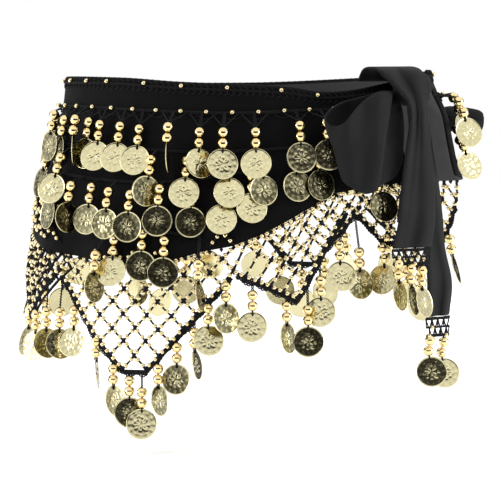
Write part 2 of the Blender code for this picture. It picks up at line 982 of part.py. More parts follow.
def crepe_loop(collection):
    """The front loop: a flattened band of crepe that hangs open at its top and bottom."""

    def place(u, v):
        turn = u * 360
        top = edge(LOOP_TOP, turn * MM)
        z = top + (edge(LOOP_BOTTOM, turn * MM) - top) * v
        left = column(LOOP_SHAPE, z, 1)
        right = column(LOOP_SHAPE, z, 2)
        depth = column(LOOP_SHAPE, z, 3)
        x = (left + right) / 2 - (right - left) / 2 * cos(radians(turn))
        crease = LOOP_CREASE * sin(x * LOOP_CREASE_RATE) * sin(radians(turn))
        return front_point(x, z, LOOP_OUT + depth * sin(radians(turn)) + crease)

    mesh = grid_sheet("crepe_loop", LOOP_AROUND, LOOP_DOWN, place)
    bm = bmesh.new()
    bm.from_mesh(mesh)
    bmesh.ops.remove_doubles(bm, verts=bm.verts, dist=0.00001)
    bm.to_mesh(mesh)
    bm.free()
    thicken(add_object("crepe_loop", mesh, CREPE, collection), CREPE_THICK)


def tail_place(rows, share, across, crease):
    """A point of a tail: a share down its table's rows, and across from left to right."""
    numbers = [(i, *row) for i, row in enumerate(rows)]
    at = share * (len(rows) - 1)
    z, left, right, out = (curve_at([(n[0], n[k]) for n in numbers], at) * MM for k in (1, 2, 3, 4))
    x = left + (right - left) * across
    return front_point(x, z, out + crease * sin(across * pi * TAIL_PLEATS + 0.6))


def tail(name, rows, down, collection):
    """A tail of crepe with soft pleats down its length."""
    mesh = grid_sheet(name, TAIL_STEPS, down, lambda u, v: tail_place(rows, v, u, TAIL_CREASE))
    thicken(add_object(name, mesh, CREPE, collection), CREPE_THICK)


def lace_end(name, rows, tall, holes, drops_table, collection, cutters):
    """The lace at a tail's end, cut through, with its drops."""
    z_end, left, right, out = (value * MM for value in rows[-1])
    bm = bmesh.new()
    columns = [left + (right - left) * i / holes for i in range(holes + 1)]
    top = z_end - 2 * SEAM
    outer = {}
    for i, x in enumerate(columns):
        narrow = (x - (left + right) / 2) * LACE_NARROWS
        outer[i, 0] = bm.verts.new(front_point(x, top, out))
        outer[i, 1] = bm.verts.new(front_point(x - narrow, top - tall, out))
    for i in range(holes):
        ring = [outer[i, 0], outer[i + 1, 0], outer[i + 1, 1], outer[i, 1]]
        middle = sum((vert.co for vert in ring), Vector()) / 4
        sides = [(ring[k].co + ring[(k + 1) % 4].co) / 2 for k in range(4)]
        hole = [bm.verts.new(middle + (point - middle) * LACE_OPEN) for point in sides]
        for k in range(4):
            after = (k + 1) % 4
            bm.faces.new((ring[k], ring[after], hole[k]))
            bm.faces.new((ring[after], hole[after], hole[k]))
    flat = mesh_of(name + "_flat", bm)
    holder = bpy.data.objects.new(name + "_flat", flat)
    bpy.context.scene.collection.objects.link(holder)
    thicken(holder, LACE_THICK)
    bpy.context.view_layer.update()
    graph = bpy.context.evaluated_depsgraph_get()
    lace = bpy.data.meshes.new_from_object(holder.evaluated_get(graph))
    bpy.data.objects.remove(holder)
    strands = []
    for number, (x, z, turn) in enumerate(drops_table):
        s = place_along(x * MM, z * MM, out)
        root = front_point(x * MM, top - tall + LACE_ROOT, out)
        drop = hang(root, s, z * MM, turn, over_cloth=False, least_out=out)
        strands.append(drop_solid(drop, f"{name}_{number}"))
    united(name, lace, strands, GOLD, collection, cutters)


def knot(collection):
    """The knot: a rounded wad of crepe under the band that passes over it."""
    bm = bmesh.new()
    bmesh.ops.create_uvsphere(bm, u_segments=12, v_segments=8, radius=1.0)
    turn = radians(KNOT_TURN)
    for vert in bm.verts:
        down, across = KNOT_GROOVE_RATES
        groove = 1 - KNOT_GROOVE * (1 + cos(down * vert.co.z + across * vert.co.x)) / 2
        x, y, z = (value * radius * groove for value, radius in zip(vert.co, KNOT_RADII))
        turned = Vector((x * cos(turn) - y * sin(turn), x * sin(turn) + y * cos(turn), z))
        vert.co = Vector(KNOT_MIDDLE) + turned
    add_object("knot", mesh_of("knot", bm), CREPE, collection)


def rolled_end(collection):
    """The rolled end of crepe that sticks out beside the knot."""
    start = hip_point(*ROLL_SEAT, VELVET_THICK / 2 + ROLL_ROOM)
    tip = Vector(ROLL_TIP)
    axis = (tip - start).normalized()
    side = axis.cross(Vector((0, 0, 1))).normalized()
    upward = side.cross(axis).normalized()
    rings = []
    for share, swell in ROLL_SWELL:
        middle = start.lerp(tip, share)
        radius = (ROLL_RADII[0] + (ROLL_RADII[1] - ROLL_RADII[0]) * share) * swell
        ring = []
        for i in range(ROLL_SIDES):
            angle = 2 * pi * i / ROLL_SIDES
            ring.append(middle + side * radius * ROLL_FLAT * cos(angle) + upward * radius * sin(angle))
        rings.append(ring)
    bm = bmesh.new()
    loft(bm, rings)
    add_object("rolled_end", mesh_of("rolled_end", bm), CREPE, collection)


def main():
    for obj in list(bpy.data.objects):
        bpy.data.objects.remove(obj, do_unlink=True)
    scarf = new_collection("coin_hip_scarf")
    cutters = new_collection("cutters")
    cutters.hide_render = True
    velvet_panel(scarf)
    top_edging(scarf)
    chain_rows(scarf, cutters)
    nets(scarf, cutters)
    crepe_loop(scarf)
    knot(scarf)
    tail("tail_front", TAIL_1, TAIL_1_DOWN, scarf)
    tail("tail_behind", TAIL_2, TAIL_2_DOWN, scarf)
    lace_end("lace_front", TAIL_1, TAIL_1_LACE, 2, TAIL_1_DROPS, scarf, cutters)
    lace_end("lace_behind", TAIL_2, TAIL_2_LACE, 1, TAIL_2_DROPS, scarf, cutters)
    rolled_end(scarf)


main()
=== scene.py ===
from math import asin, atan2, cos, hypot, pi, radians, sin, sqrt

import bpy
import numpy as np
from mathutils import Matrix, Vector


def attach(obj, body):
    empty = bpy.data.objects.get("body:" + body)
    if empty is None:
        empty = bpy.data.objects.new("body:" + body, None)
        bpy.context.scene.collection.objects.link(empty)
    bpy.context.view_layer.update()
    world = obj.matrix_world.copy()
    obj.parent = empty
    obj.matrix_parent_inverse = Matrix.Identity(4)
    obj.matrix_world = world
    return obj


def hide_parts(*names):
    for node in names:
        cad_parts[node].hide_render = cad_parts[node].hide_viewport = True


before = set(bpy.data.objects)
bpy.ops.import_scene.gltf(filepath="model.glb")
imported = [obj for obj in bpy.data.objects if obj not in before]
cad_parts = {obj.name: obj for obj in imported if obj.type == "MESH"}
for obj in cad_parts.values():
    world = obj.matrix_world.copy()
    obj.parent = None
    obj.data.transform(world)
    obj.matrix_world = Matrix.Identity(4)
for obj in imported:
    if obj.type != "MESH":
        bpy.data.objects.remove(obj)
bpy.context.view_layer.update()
RANDOM = np.random.default_rng(11)
MM = 0.001

# The worn cloth's surface, the same as the solids'. s runs along the cloth from the front
# centre, z is the height, out the distance outside the middle of the cloth. Tables in mm.
SEAM = 0.0003
VELVET_THICK = 0.0018
VELVET_FACE = VELVET_THICK / 2
CREPE_THICK = 0.0016
HALF_WIDTH = ((20, 140.0), (0, 142.0), (-20, 144.6), (-60, 153.5), (-95, 164.5), (-150, 174.0),
              (-190, 177.0), (-260, 178.0))
DEPTH_SHARE = 0.78
REFERENCE_HALF_WIDTH = 0.170
FRONT_REACH = 0.235
FLUTES = ((0.0024, 62, 0.8), (0.0016, 113, 2.1))
FLUTES_DOWN = (-0.01, -0.12)
FLUTES_ALONG = (0.16, 0.06)
PULL_HIGH = 0.0020
PULL_TO = 0.166
PULL_RATE = 150
PULL_SLANT = 0.35
PULL_ALONG = (0.06, 0.15)
LIFT_HIGH = 0.018
LIFT_LOWER = 0.010
LIFT_DOWN = (0.008, -0.030)
LIFT_FROM = -0.655
PANEL_START = -0.759
PANEL_END = 0.171
TOP_EDGE = ((-759, 9), (-722, 8), (-680, 5), (-600, 1), (-480, -3), (-300, -1), (-230, 3),
            (-120, 3), (-60, 0), (0, -2), (45, -4), (80, -8), (120, -6), (171, 0))
VELVET_EDGE = ((-759, -75), (-720, -80), (-600, -84), (-480, -86), (-310, -87), (-270, -96),
               (-240, -112), (-210, -127), (-175, -135), (-140, -139), (-110, -143), (-80, -145),
               (-50, -139), (-25, -132), (0, -127), (20, -118), (50, -103), (80, -88), (110, -83),
               (171, -79))
NET_LINE = ((-764, -84), (-600, -88), (-340, -90), (-238, -117), (-190, -134), (-120, -141),
            (-5, -137), (14, -124), (42, -107), (92, -86), (171, -80))
PANEL_COLUMNS = 42

# Net diamonds and points: name, left end in mm, diamonds across, rows.
NET_PITCH = 0.0194
NET_HALF_ROW = 0.0106
NET_POINTS = (("net_back_4", -703.2, 6, 5), ("net_back_3", -586.8, 6, 5),
              ("net_back_2", -470.4, 6, 5), ("net_back_1", -354.0, 6, 5),
              ("net_side", -237.6, 4, 4), ("net_front_long", -160.0, 8, 7),
              ("net_front_mid", -4.8, 5, 5), ("net_front_knot", 92.2, 4, 3))
NET_SEAM = 0.0005
NET_SNAP = 0.0070
NET_BESIDE = 0.004
NET_ROWS_ABOVE = 4
BRAID_BELOW = 0.0031
OVER_ROWS = 9
BRAID_SHORT = 0.22
GATHER_RIGHT = (-0.150, -0.176)
GATHER_LEFT = (-0.345, -0.300)

# The net's cords: how far they and their crossings wander, what is too level or too short to
# be a side, and how far above the velvet's edge they reach, plainly and where drawn together.
NET_JITTER = 0.0009
NET_SAG = 0.0005
NET_ROUGH = 0.0003
LEAST_FALL = 0.002
LEAST_SIDE = 0.008
OVER_HIGH = 0.014
OVER_GATHERED = 0.036

# Beads, coins and cords.
BEAD_RADIUS = 0.0043
COIN_RADIUS = 0.0124
COIN_THICK = 0.0010
THREAD = 0.0007
COIN_BELOW_BEADS = 0.0168
CORD_RADIUS = 0.0011
SMALL_BEAD = 0.0021
NET_BEAD = 0.0023
EDGING_BEAD = 0.0020
LACE_BEAD = 0.0018
CORD_ROOM = 0.0036
LAYER = 0.0011
MOST_LAYERS = 16
COIN_SWINGS = (0, 12, -12, 24, -24, 36, -36)
SWING_COST = 0.00010
CHAIN_STEP = 0.024
CORD_END = 0.002
FIRST_OUT = 0.006
DROP_REACH = 0.06

# Radii of single strands.
STITCH = 0.00040
EDGE_LOOP = 0.00045
PEAK_THREAD = 0.00050
LACE_BAR = 0.00055
TIE = 0.00060
COIN_LOOP = 0.00062
OVER_CORD = 0.00070
NET_CORD = 0.00100

# Plaits: strands, their radius, how far they swing across and in and out, and their pitch.
STEM_PLAIT = (2, 0.00052, 0.00085, 0.00035, 0.0044)
CHAIN_PLAIT = (2, 0.00050, 0.0008, 0.0003, 0.0044)
EDGE_PLAIT = (3, 0.00062, 0.0008, 0.0005, 0.0052)
UNDER_PLAIT = (2, 0.00045, 0.0006, 0.0003, 0.0040)
BRAID_PLAIT = (3, 0.00085, 0.0015, 0.0007, 0.0080)
WAVY_PLAIT = (2, 0.00062, 0.0010, 0.0004, 0.0052)
HEM_PLAIT = (3, 0.0011, 0.0010, 0.0008, 0.0066)
WAVE_HIGH = 0.0026
WAVE_RATE = 1.7

# Chains that carry the rows of drops: s, z.
CHAIN_1 = ((-756, -8), (-720, -12), (-480, -25), (-240, -19), (-160, -19), (-60, -22), (0, -23),
           (60, -21), (100, -20))
CHAIN_2 = ((-756, -32), (-720, -38), (-480, -50), (-240, -48), (-160, -50), (-100, -52),
           (-30, -54), (0, -53), (60, -50), (92, -48), (124, -52))
CHAIN_3 = ((-205, -72), (-160, -74), (-120, -77), (-60, -78), (-20, -73), (24, -66))
CHAIN_4 = ((-138, -102), (-115, -118), (-90, -118), (-60, -117), (-30, -121))

# Front drops: x and z of the upper bead, the way the coin faces in degrees from the front
# towards +X, and how far the coin leans back, in degrees.
ROW_1_FRONT = ((-147, -26, -70, 0), (-142, -30, -58, -2), (-134, -29, 62, 3), (-126, -31, -4, 2),
               (-115, -33, 0, 9), (-97, -34, -6, 10), (-82, -36, 4, 9), (-57, -34, 84, 0),
               (-31, -38, 2, 10), (-13, -38, 44, 6), (12, -38, 6, 9), (46, -33, 26, 3),
               (66, -31, 12, 2))
ROW_2_FRONT = ((-157, -56, -66, -1), (-144, -60, -30, 7), (-70, -60, 14, 0), (-41, -61, -8, 8),
               (-8, -61, 6, 9), (18, -59, 14, 0), (44, -56, 22, -1), (62, -55, 30, 0),
               (112, -73.5, 4, 0))
ROW_3_FRONT = ((-151, -80, -74, 0), (-135, -82, 40, 1), (-122, -83, 8, 3), (-104, -86, -8, 1),
               (-86, -88, 4, 0), (-62, -83, -12, 0), (-38, -84, 10, -1), (-14, -82, -4, 9),
               (9, -73, 8, 8))
ROW_4_FRONT = ((-115, -136, 52, 0), (-101, -124, -6, 9), (-79, -119, 8, 0), (-60, -124, -4, -1),
               (-33, -142, 74, 3))
ROW_1_END = ((-754, -15, -4, 9), (-736, -12, 56, 8))
ROW_2_END = ((-753, -42, 4, 9), (-735, -38, 48, 8))
BACK_FROM = -0.676
BACK_TO = -0.255
ROW_1_BACK_COUNT = 12
ROW_2_BACK_COUNT = 10
BACK_TURNS = (6, -24, 12, 38, -8, 20, -40)
BACK_LEANS = (8, 0, 5, -2, 10, 1, 7)
BACK_HANG = 0.0125
NET_SIDE_FRONT = ((-171, -184, -62, 9), (-165, -187, -40, 2), (-156, -184, 30, 4))
NET_LONG_FRONT = ((-145, -184, 24, 2), (-133, -182, -30, 6), (-115, -206, 86, 0),
                  (-101, -227, 52, 3), (-88, -236, 10, 1), (-78, -245, -6, 9),
                  (-65, -226, 58, 2), (-50, -209, -24, 1), (-36, -197, 50, 3),
                  (-25, -178, -10, 9), (-11, -160, 20, 0))
NET_MID_FRONT = ((10, -167, -12, 9), (37, -176, 60, 2), (54, -179, 6, 0), (64, -156, -14, 8))
NET_KNOT_FRONT = ((79, -128, 14, 8), (95, -134, 34, 0), (114, -131, -30, 5))
BACK_NET_PLACES = (-4, -2, 0, 2, 4)
BACK_NET_HANG = 0.0085

# The ties of crepe: loop, tails, knot and rolled end, as the solids have them.
LOOP_SHAPE = ((-2, 88, 122, 7), (-12, 76, 127, 9), (-24, 68, 130, 11), (-36, 69, 131, 11),
              (-52, 75, 130, 10), (-68, 79, 127, 9), (-80, 84, 118, 7), (-88, 93, 108, 5))
LOOP_TOP = ((0, -26), (35, -33), (62, -29), (84, -13), (110, -6), (180, -7), (235, -5),
            (275, -9), (320, -15), (360, -26))
LOOP_BOTTOM = ((0, -76), (50, -84), (90, -87), (130, -83), (180, -72), (230, -80), (270, -84),
               (310, -81), (360, -76))
LOOP_OUT = 0.0255
TAIL_1 = ((1.5, 94, 127, -4.6), (11, 98, 132, 0.5), (13, 104, 139, 12.0), (10.5, 111, 146, 24.0),
          (2, 120, 149, 32.5), (-14, 134, 150, 37.0), (-34, 136, 151, 35.5),
          (-60, 132, 154, 33.0), (-85, 129, 156, 28.5), (-110, 126, 156, 23.5),
          (-131, 121, 153, 20.5))
TAIL_2 = ((-19, 138, 150, 20.0), (-60, 144, 157, 16.0), (-100, 146, 163, 12.5),
          (-130, 148, 165, 11.5), (-160, 150, 171, 11.0), (-187, 149, 169, 11.0))
TAIL_PLEATS = 3
TAIL_CREASE = 0.0018
TAIL_1_LACE = 0.012
TAIL_2_LACE = 0.015
LACE_ROOT = 0.0014
TAIL_1_DROPS = ((126, -143, 62, 3), (135, -147, 70, 4), (145.5, -149, 58, 5))
TAIL_2_DROPS = ((152.5, -206, -8, 0), (164, -208, 10, 8))
KNOT_MIDDLE = (0.1390, -0.0620, -0.0040)
KNOT_RADII = (0.0235, 0.0125, 0.0160)
KNOT_TURN = 54
ROLL_SEAT = (-0.7050, -0.0265)
ROLL_ROOM = 0.0029
ROLL_TIP = (0.1985, 0.0150, -0.0335)
ROLL_RADII = (0.0115, 0.0130)
ROLL_FLAT = 0.72
ROLL_SWELL = ((0.0, 0.50), (0.18, 0.92), (0.5, 1.0), (0.9, 0.97), (1.0, 0.80))

# Creases of the velvet: s, z, length along it, half width, height, all in mm,
# and its slant in degrees from level.
VELVET_CREASES = (
    (-190, -40, 60, 7, 1.0, 78), (-150, -60, 50, 6, -0.9, 70), (-108, -30, 70, 5, 0.8, 84),
    (-80, -95, 60, 8, -1.1, 96), (-52, -70, 80, 6, 0.9, 80), (-20, -50, 60, 9, -1.0, 74),
    (8, -86, 50, 6, 0.9, 62), (30, -40, 60, 5, 0.9, 40), (58, -30, 60, 4, -0.9, 24),
    (90, -24, 60, 4, 1.1, 14), (100, -48, 70, 5, -1.2, -6), (120, -60, 50, 4, 1.0, -18),
    (-240, -50, 70, 8, -1.2, 86), (-290, -30, 50, 6, 0.9, 75), (-330, -60, 60, 7, 1.1, 98),
    (-372, -20, 70, 9, -1.0, 80), (-410, -55, 60, 6, 1.0, 92), (-455, -40, 70, 8, -1.2, 84),
    (-500, -66, 50, 6, 0.8, 100), (-540, -30, 70, 7, 1.1, 78), (-585, -50, 60, 8, -1.1, 88),
    (-630, -26, 60, 6, 1.0, 66), (-668, -44, 70, 5, -1.2, 40), (-705, -20, 60, 4, 1.2, 20),
    (-720, -56, 60, 4, -1.0, 8), (150, -20, 40, 3, 1.0, 10), (-345, 0, 90, 5, -0.7, 4),
    (-180, -12, 90, 4, 0.5, -3), (-40, -10, 110, 4, -0.5, 2), (-560, -8, 90, 5, 0.6, -4),
)


def curve_at(rows, key, index=1):
    """A smooth curve through one column of a table, read by the table's first column."""
    if rows[0][0] > rows[-1][0]:
        rows = rows[::-1]
    keys = [row[0] for row in rows]
    values = [row[index] for row in rows]
    key = min(max(key, keys[0]), keys[-1])
    i = min(max(int(np.searchsorted(keys, key)) - 1, 0), len(keys) - 2)
    step = keys[i + 1] - keys[i]
    t = (key - keys[i]) / step
    rise = values[i + 1] - values[i]
    before = max(i - 1, 0)
    after = min(i + 2, len(keys) - 1)
    slope_0 = (values[i + 1] - values[before]) / (keys[i + 1] - keys[before]) * step
    slope_1 = (values[after] - values[i]) / (keys[after] - keys[i]) * step
    bend = t * t * t * (slope_0 + slope_1 - 2 * rise)
    return values[i] + bend + t * t * (3 * rise - 2 * slope_0 - slope_1) + t * slope_0


def edge(rows, key, index=1):
    """One column of a table in mm, with the key and the value in metres."""
    return curve_at(rows, key / MM, index) * MM


def arc_table():
    """Length along the reference oval for a fine row of angles, from the front centre."""
    a = REFERENCE_HALF_WIDTH
    b = a * DEPTH_SHARE
    angles = np.linspace(-2 * pi, pi, 1501)
    speed = np.sqrt((a * np.cos(angles)) ** 2 + (b * np.sin(angles)) ** 2)
    steps = (speed[1:] + speed[:-1]) / 2 * np.diff(angles)
    lengths = np.concatenate(([0.0], np.cumsum(steps)))
    lengths -= np.interp(0.0, angles, lengths)
    return angles, lengths


ARC_ANGLES, ARC_LENGTHS = arc_table()


def fade(value, start, full):
    """0 at start, 1 at full, smooth between."""
    t = min(max((value - start) / (full - start), 0.0), 1.0)
    return t * t * (3 - 2 * t)


def bell(offset, width):
    """1 in the middle of a soft ridge, and near 0 two widths from it."""
    return np.exp(-(offset / width) ** 2)


def fold_out(s, z):
    """How far the cloth stands out of the plain oval: its flutes and its pull to the knot."""
    flutes = sum(height * sin(s * rate + start) for height, rate, start in FLUTES)
    flutes *= fade(z, *FLUTES_DOWN) * fade(s, *FLUTES_ALONG)
    pull = PULL_HIGH * sin((z + PULL_SLANT * (s - PULL_TO)) * PULL_RATE)
    lift = LIFT_HIGH + LIFT_LOWER * fade(z, *LIFT_DOWN)
    return flutes + pull * fade(s, *PULL_ALONG) + lift * fade(s, LIFT_FROM, PANEL_START)


def hip_point(s, z, out=0.0):
    """A point of the worn cloth, out metres outside the middle of its thickness."""
    angle = float(np.interp(s, ARC_LENGTHS, ARC_ANGLES))
    a = edge(HALF_WIDTH, z)
    b = a * DEPTH_SHARE
    facing = Vector((sin(angle) / a, -cos(angle) / b, 0.0)).normalized()
    return Vector((a * sin(angle), -b * cos(angle), z)) + facing * (out + fold_out(s, z))


def hip_frame(s, z, out=0.0):
    """The place and the directions along the cloth, down it and out of it."""
    small = 0.0005
    along = (hip_point(s + small, z, out) - hip_point(s - small, z, out)).normalized()
    down = (hip_point(s, z - small, out) - hip_point(s, z + small, out)).normalized()
    outward = down.cross(along).normalized()
    if outward.dot(hip_point(s, z, 1.0) - hip_point(s, z)) < 0:
        outward.negate()
    return hip_point(s, z, out), along, down, outward


def place_along(x, z, out=0.0):
    """The s of the front half whose point has this x."""
    low = -FRONT_REACH
    high = FRONT_REACH
    for _ in range(40):
        middle = (low + high) / 2
        if hip_point(middle, z, out).x < x:
            low = middle
        else:
            high = middle
    return (low + high) / 2


def front_point(x, z, out):
    return hip_point(place_along(x, z, out), z, out)


def between(first, second, t, out=0.0, sag=0.0):
    """A point on the way from one s and z to another, along a line that may sag sideways."""
    (s_0, z_0), (s_1, z_1) = first, second
    return hip_point(s_0 + (s_1 - s_0) * t + sag * sin(pi * t), z_0 + (z_1 - z_0) * t, out)


def gathered_at(s):
    """How far the net is drawn together, from 0 on the hips to 1 beside the deep point."""
    return fade(s, *GATHER_RIGHT) * fade(s, *GATHER_LEFT)


def velvet_line(s):
    """The panel's lower edge, straight between the columns of the solid."""
    place = (s - PANEL_START) / (PANEL_END - PANEL_START) * PANEL_COLUMNS
    left_column = min(max(int(place), 0), PANEL_COLUMNS - 1)
    share = place - left_column
    step = (PANEL_END - PANEL_START) / PANEL_COLUMNS
    left = edge(VELVET_EDGE, PANEL_START + left_column * step)
    right = edge(VELVET_EDGE, PANEL_START + (left_column + 1) * step)
    return left + (right - left) * share


# Where every drop hangs, worked out as in the solids.

class Drop:
    """A thread from its chain, two large beads and a coin that hangs under them."""

    def __init__(self, root, s, z, out, turn):
        self.root = root
        self.s = s
        self.z = z
        self.turn = turn
        self.lean = 0.0
        self.settle(out)

    def settle(self, out):
        """Places the drop so far out of the cloth that its coin and beads clear it."""
        bead_1 = hip_frame(self.s, self.z, out)[0]
        bead_2 = hip_frame(self.s, self.z - 2 * BEAD_RADIUS, out)[0]
        coin = hip_frame(self.s, self.z - 2 * BEAD_RADIUS - COIN_BELOW_BEADS, out)[0]
        self.down = (coin - bead_2).normalized()
        flat = Vector((sin(self.turn), -cos(self.turn), 0.0))
        self.face = (flat - self.down * flat.dot(self.down)).normalized()
        self.side = self.down.cross(self.face).normalized()
        self.beads = [bead_1, bead_2]
        self.coin = bead_2 + self.down * COIN_BELOW_BEADS

    def coin_points(self):
        points = [self.coin]
        for share in (0.5, 1.0):
            for i in range(12):
                angle = i * pi / 6
                reach = COIN_RADIUS * share
                points.append(self.coin + (self.side * cos(angle) + self.down * sin(angle)) * reach)
        return points

    def thread_points(self):
        return [self.root.lerp(self.beads[0], i / 8) for i in range(9)]

    def touches(self, other):
        if (self.coin - other.coin).length > DROP_REACH:
            return False
        pairs = ((self, other), (other, self))
        return any(touches_coin(*pair) or touches_beads(*pair) for pair in pairs)


def touches_coin(first, second):
    tests = [(point, COIN_THICK + SEAM) for point in first.coin_points()]
    tests += [(bead, BEAD_RADIUS + COIN_THICK / 2 + SEAM) for bead in first.beads]
    tests += [(point, THREAD + COIN_THICK / 2 + SEAM) for point in first.thread_points()]
    for point, reach in tests:
        offset = point - second.coin
        height = offset.dot(second.face)
        in_plane = (offset - second.face * height).length
        if abs(height) < reach and in_plane < COIN_RADIUS + reach:
            return True
    return False


def touches_beads(first, second):
    tests = [(bead, 2 * BEAD_RADIUS + SEAM) for bead in first.beads]
    tests += [(point, BEAD_RADIUS + THREAD + SEAM) for point in first.thread_points()]
    return any((point - bead).length < reach for point, reach in tests for bead in second.beads)


def cloth_clearance(s, z, turn):
    """The least distance out for a drop over cloth, from the width its turned coin needs."""
    outward = hip_frame(s, z)[3]
    outward = Vector((outward.x, outward.y, 0.0)).normalized()
    face = Vector((sin(turn), -cos(turn), 0.0))
    sideways = sqrt(max(0.0, 1.0 - face.dot(outward) ** 2))
    return VELVET_FACE + SEAM + max(BEAD_RADIUS + CORD_ROOM / 3,
                                    CORD_ROOM + COIN_RADIUS * sideways)


HUNG = []


def hang(root, s, z, turn_degrees, over_cloth, lean, least_out=0.0):
    """Hangs a drop as near the cloth, and turned as little, as those hung before allow."""
    tries = []
    for swing in COIN_SWINGS:
        turn = radians(turn_degrees + swing)
        start = cloth_clearance(s, z, turn) if over_cloth else 0.0
        for layer in range(MOST_LAYERS):
            out = max(start, least_out) + layer * LAYER
            tries.append((out + abs(swing) * SWING_COST, out, turn))
    tries.sort()
    drop = Drop(root, s, z, tries[0][1], tries[0][2])
    for _, out, turn in tries:
        drop.turn = turn
        drop.settle(out)
        if not any(drop.touches(other) for other in HUNG):
            break
    drop.lean = radians(lean)
    HUNG.append(drop)
    return drop


def chain_path(rows):
    """The places of a chain along the line of its table."""
    start = rows[0][0] * MM
    end = rows[-1][0] * MM
    count = max(2, round((end - start) / CHAIN_STEP))
    places = [start + (end - start) * i / count for i in range(count + 1)]
    return [(s, edge(rows, s)) for s in places]


def on_path(path, s, out):
    """The point of a cord's middle line at this s, on its straight run between two places."""
    places = [place for place, _ in path]
    s = min(max(s, places[0] + CORD_END), places[-1] - CORD_END)
    i = min(max(int(np.searchsorted(places, s)) - 1, 0), len(places) - 2)
    share = (s - places[i]) / (places[i + 1] - places[i])
    return hip_point(*path[i], out).lerp(hip_point(*path[i + 1], out), share)


def facing_degrees(s, z):
    outward = hip_frame(s, z)[3]
    return Vector((0.0, -1.0)).angle_signed(Vector((outward.x, outward.y))) * -180 / pi


def row_drops(path, front, end, back_count, shift, root_out):
    """The drops of one chain: the front's, those at the knot end of the back, and the back's."""
    drops = []
    for x, z, turn, lean in front:
        z *= MM
        s = place_along(x * MM, z, FIRST_OUT)
        out = cloth_clearance(s, z, radians(turn))
        s = place_along(x * MM, z, out)
        drops.append(hang(on_path(path, s, root_out), s, z, turn, True, lean))
    for s, z, turn, lean in end:
        s *= MM
        drops.append(hang(on_path(path, s, root_out), s, z * MM, turn, True, lean))
    for i in range(back_count):
        s = BACK_FROM + (BACK_TO - BACK_FROM) * (i + shift) / back_count
        root = on_path(path, s, root_out)
        z = root.z - BACK_HANG
        turn = facing_degrees(s, z) + BACK_TURNS[(i * 3 + back_count) % len(BACK_TURNS)]
        drops.append(hang(root, s, z, turn, True, BACK_LEANS[i % len(BACK_LEANS)]))
    return drops


def net_place(left, i, m):
    """The s and z that lie i half pitches from a point's left end and m half rows down."""
    s = left + i * NET_PITCH / 2
    return s, edge(NET_LINE, s) - m * NET_HALF_ROW


def net_node(left, i, m):
    """A crossing of the net: s, z, and whether it is caught on the velvet's edge."""
    s, z = net_place(left, i, m)
    steep = abs(velvet_line(s + NET_BESIDE) - velvet_line(s - NET_BESIDE)) / (2 * NET_BESIDE)
    limit = velvet_line(s) - NET_SEAM * (1 + 3 * steep)
    if z > limit - NET_SNAP:
        return s, limit, True
    return s, z, False


def net_cells(left, count, rows):
    """The diamonds of one point: each as its four crossings, top, right, bottom and left."""
    cells = []
    for m in range(-NET_ROWS_ABOVE, rows + 1):
        if m >= 1:
            middles = [2 * i + m for i in range(count - m + 1)]
        else:
            middles = [2 * i + m % 2 for i in range(count)]
        for i in middles:
            around = ((i, m - 1), (i + 1, m), (i, m + 1), (i - 1, m))
            if not net_node(left, i, m + 1)[2]:
                cells.append(around)
    return cells


def braid_path(left, count, rows):
    """The places of the braid under one net point, from its left corner to its right."""
    corners = [(k, k + 1) for k in range(rows)]
    corners += [(i, rows + 1) for i in range(rows, 2 * count - rows + 1, 2)]
    corners += [(2 * count - k, k + 1) for k in range(rows - 1, -1, -1)]
    path = []
    for corner in corners:
        s, z = net_place(left, *corner)
        path.append((s, z - BRAID_BELOW))
    for end, beside in ((0, 1), (-1, -2)):
        s = path[end][0] + (path[beside][0] - path[end][0]) * BRAID_SHORT
        z = path[end][1] + (path[beside][1] - path[end][1]) * BRAID_SHORT
        path[end] = (s, z)
    return path


def braid_drops(path, left, count, table):
    drops = []
    for x, z, turn, lean in table:
        s = place_along(x * MM, z * MM)
        drops.append(hang(on_path(path, s, 0.0), s, z * MM, turn, False, lean))
    if not table:
        tip = left + count * NET_PITCH / 2
        for number, steps in enumerate(BACK_NET_PLACES):
            s = tip + steps * NET_PITCH / 2
            root = on_path(path, s, 0.0)
            z = root.z - BACK_NET_HANG
            turn = facing_degrees(s, z) + BACK_TURNS[(number * 2 + count) % len(BACK_TURNS)]
            drops.append(hang(root, s, z, turn, False, BACK_LEANS[number]))
    return drops


def lace_drops(rows, tall, table):
    z_end, _, _, out = (value * MM for value in rows[-1])
    top = z_end - 2 * SEAM
    drops = []
    for x, z, turn, lean in table:
        s = place_along(x * MM, z * MM, out)
        root = front_point(x * MM, top - tall + LACE_ROOT, out)
        drops.append(hang(root, s, z * MM, turn, False, lean, least_out=out))
    return drops


# Shader helpers and the groups that several finishes share.

def feed(socket, value):
    """Sets a socket, or links it where the value is another node's output."""
    if hasattr(value, "is_output"):
        socket.id_data.links.new(value, socket)
    else:
        socket.default_value = value


def put(tree, kind, values=(), **settings):
    """A shader node with its settings and with its inputs set or linked."""
    made = tree.nodes.new(kind)
    for name, value in settings.items():
        setattr(made, name, value)
    for name, value in dict(values).items():
        feed(made.inputs[name], value)
    return made


def mix_colour(tree, factor, first, second):
    return put(tree, "ShaderNodeMix", {0: factor, 6: first, 7: second}, data_type="RGBA").outputs[2]


def math_of(tree, operation, first, second=0.0):
    return put(tree, "ShaderNodeMath", {0: first, 1: second}, operation=operation).outputs[0]


def noise(tree, place, scale, detail, roughness=0.5):
    return put(tree, "ShaderNodeTexNoise", {"Vector": place, "Scale": scale, "Detail": detail,
                                            "Roughness": roughness}).outputs[0]


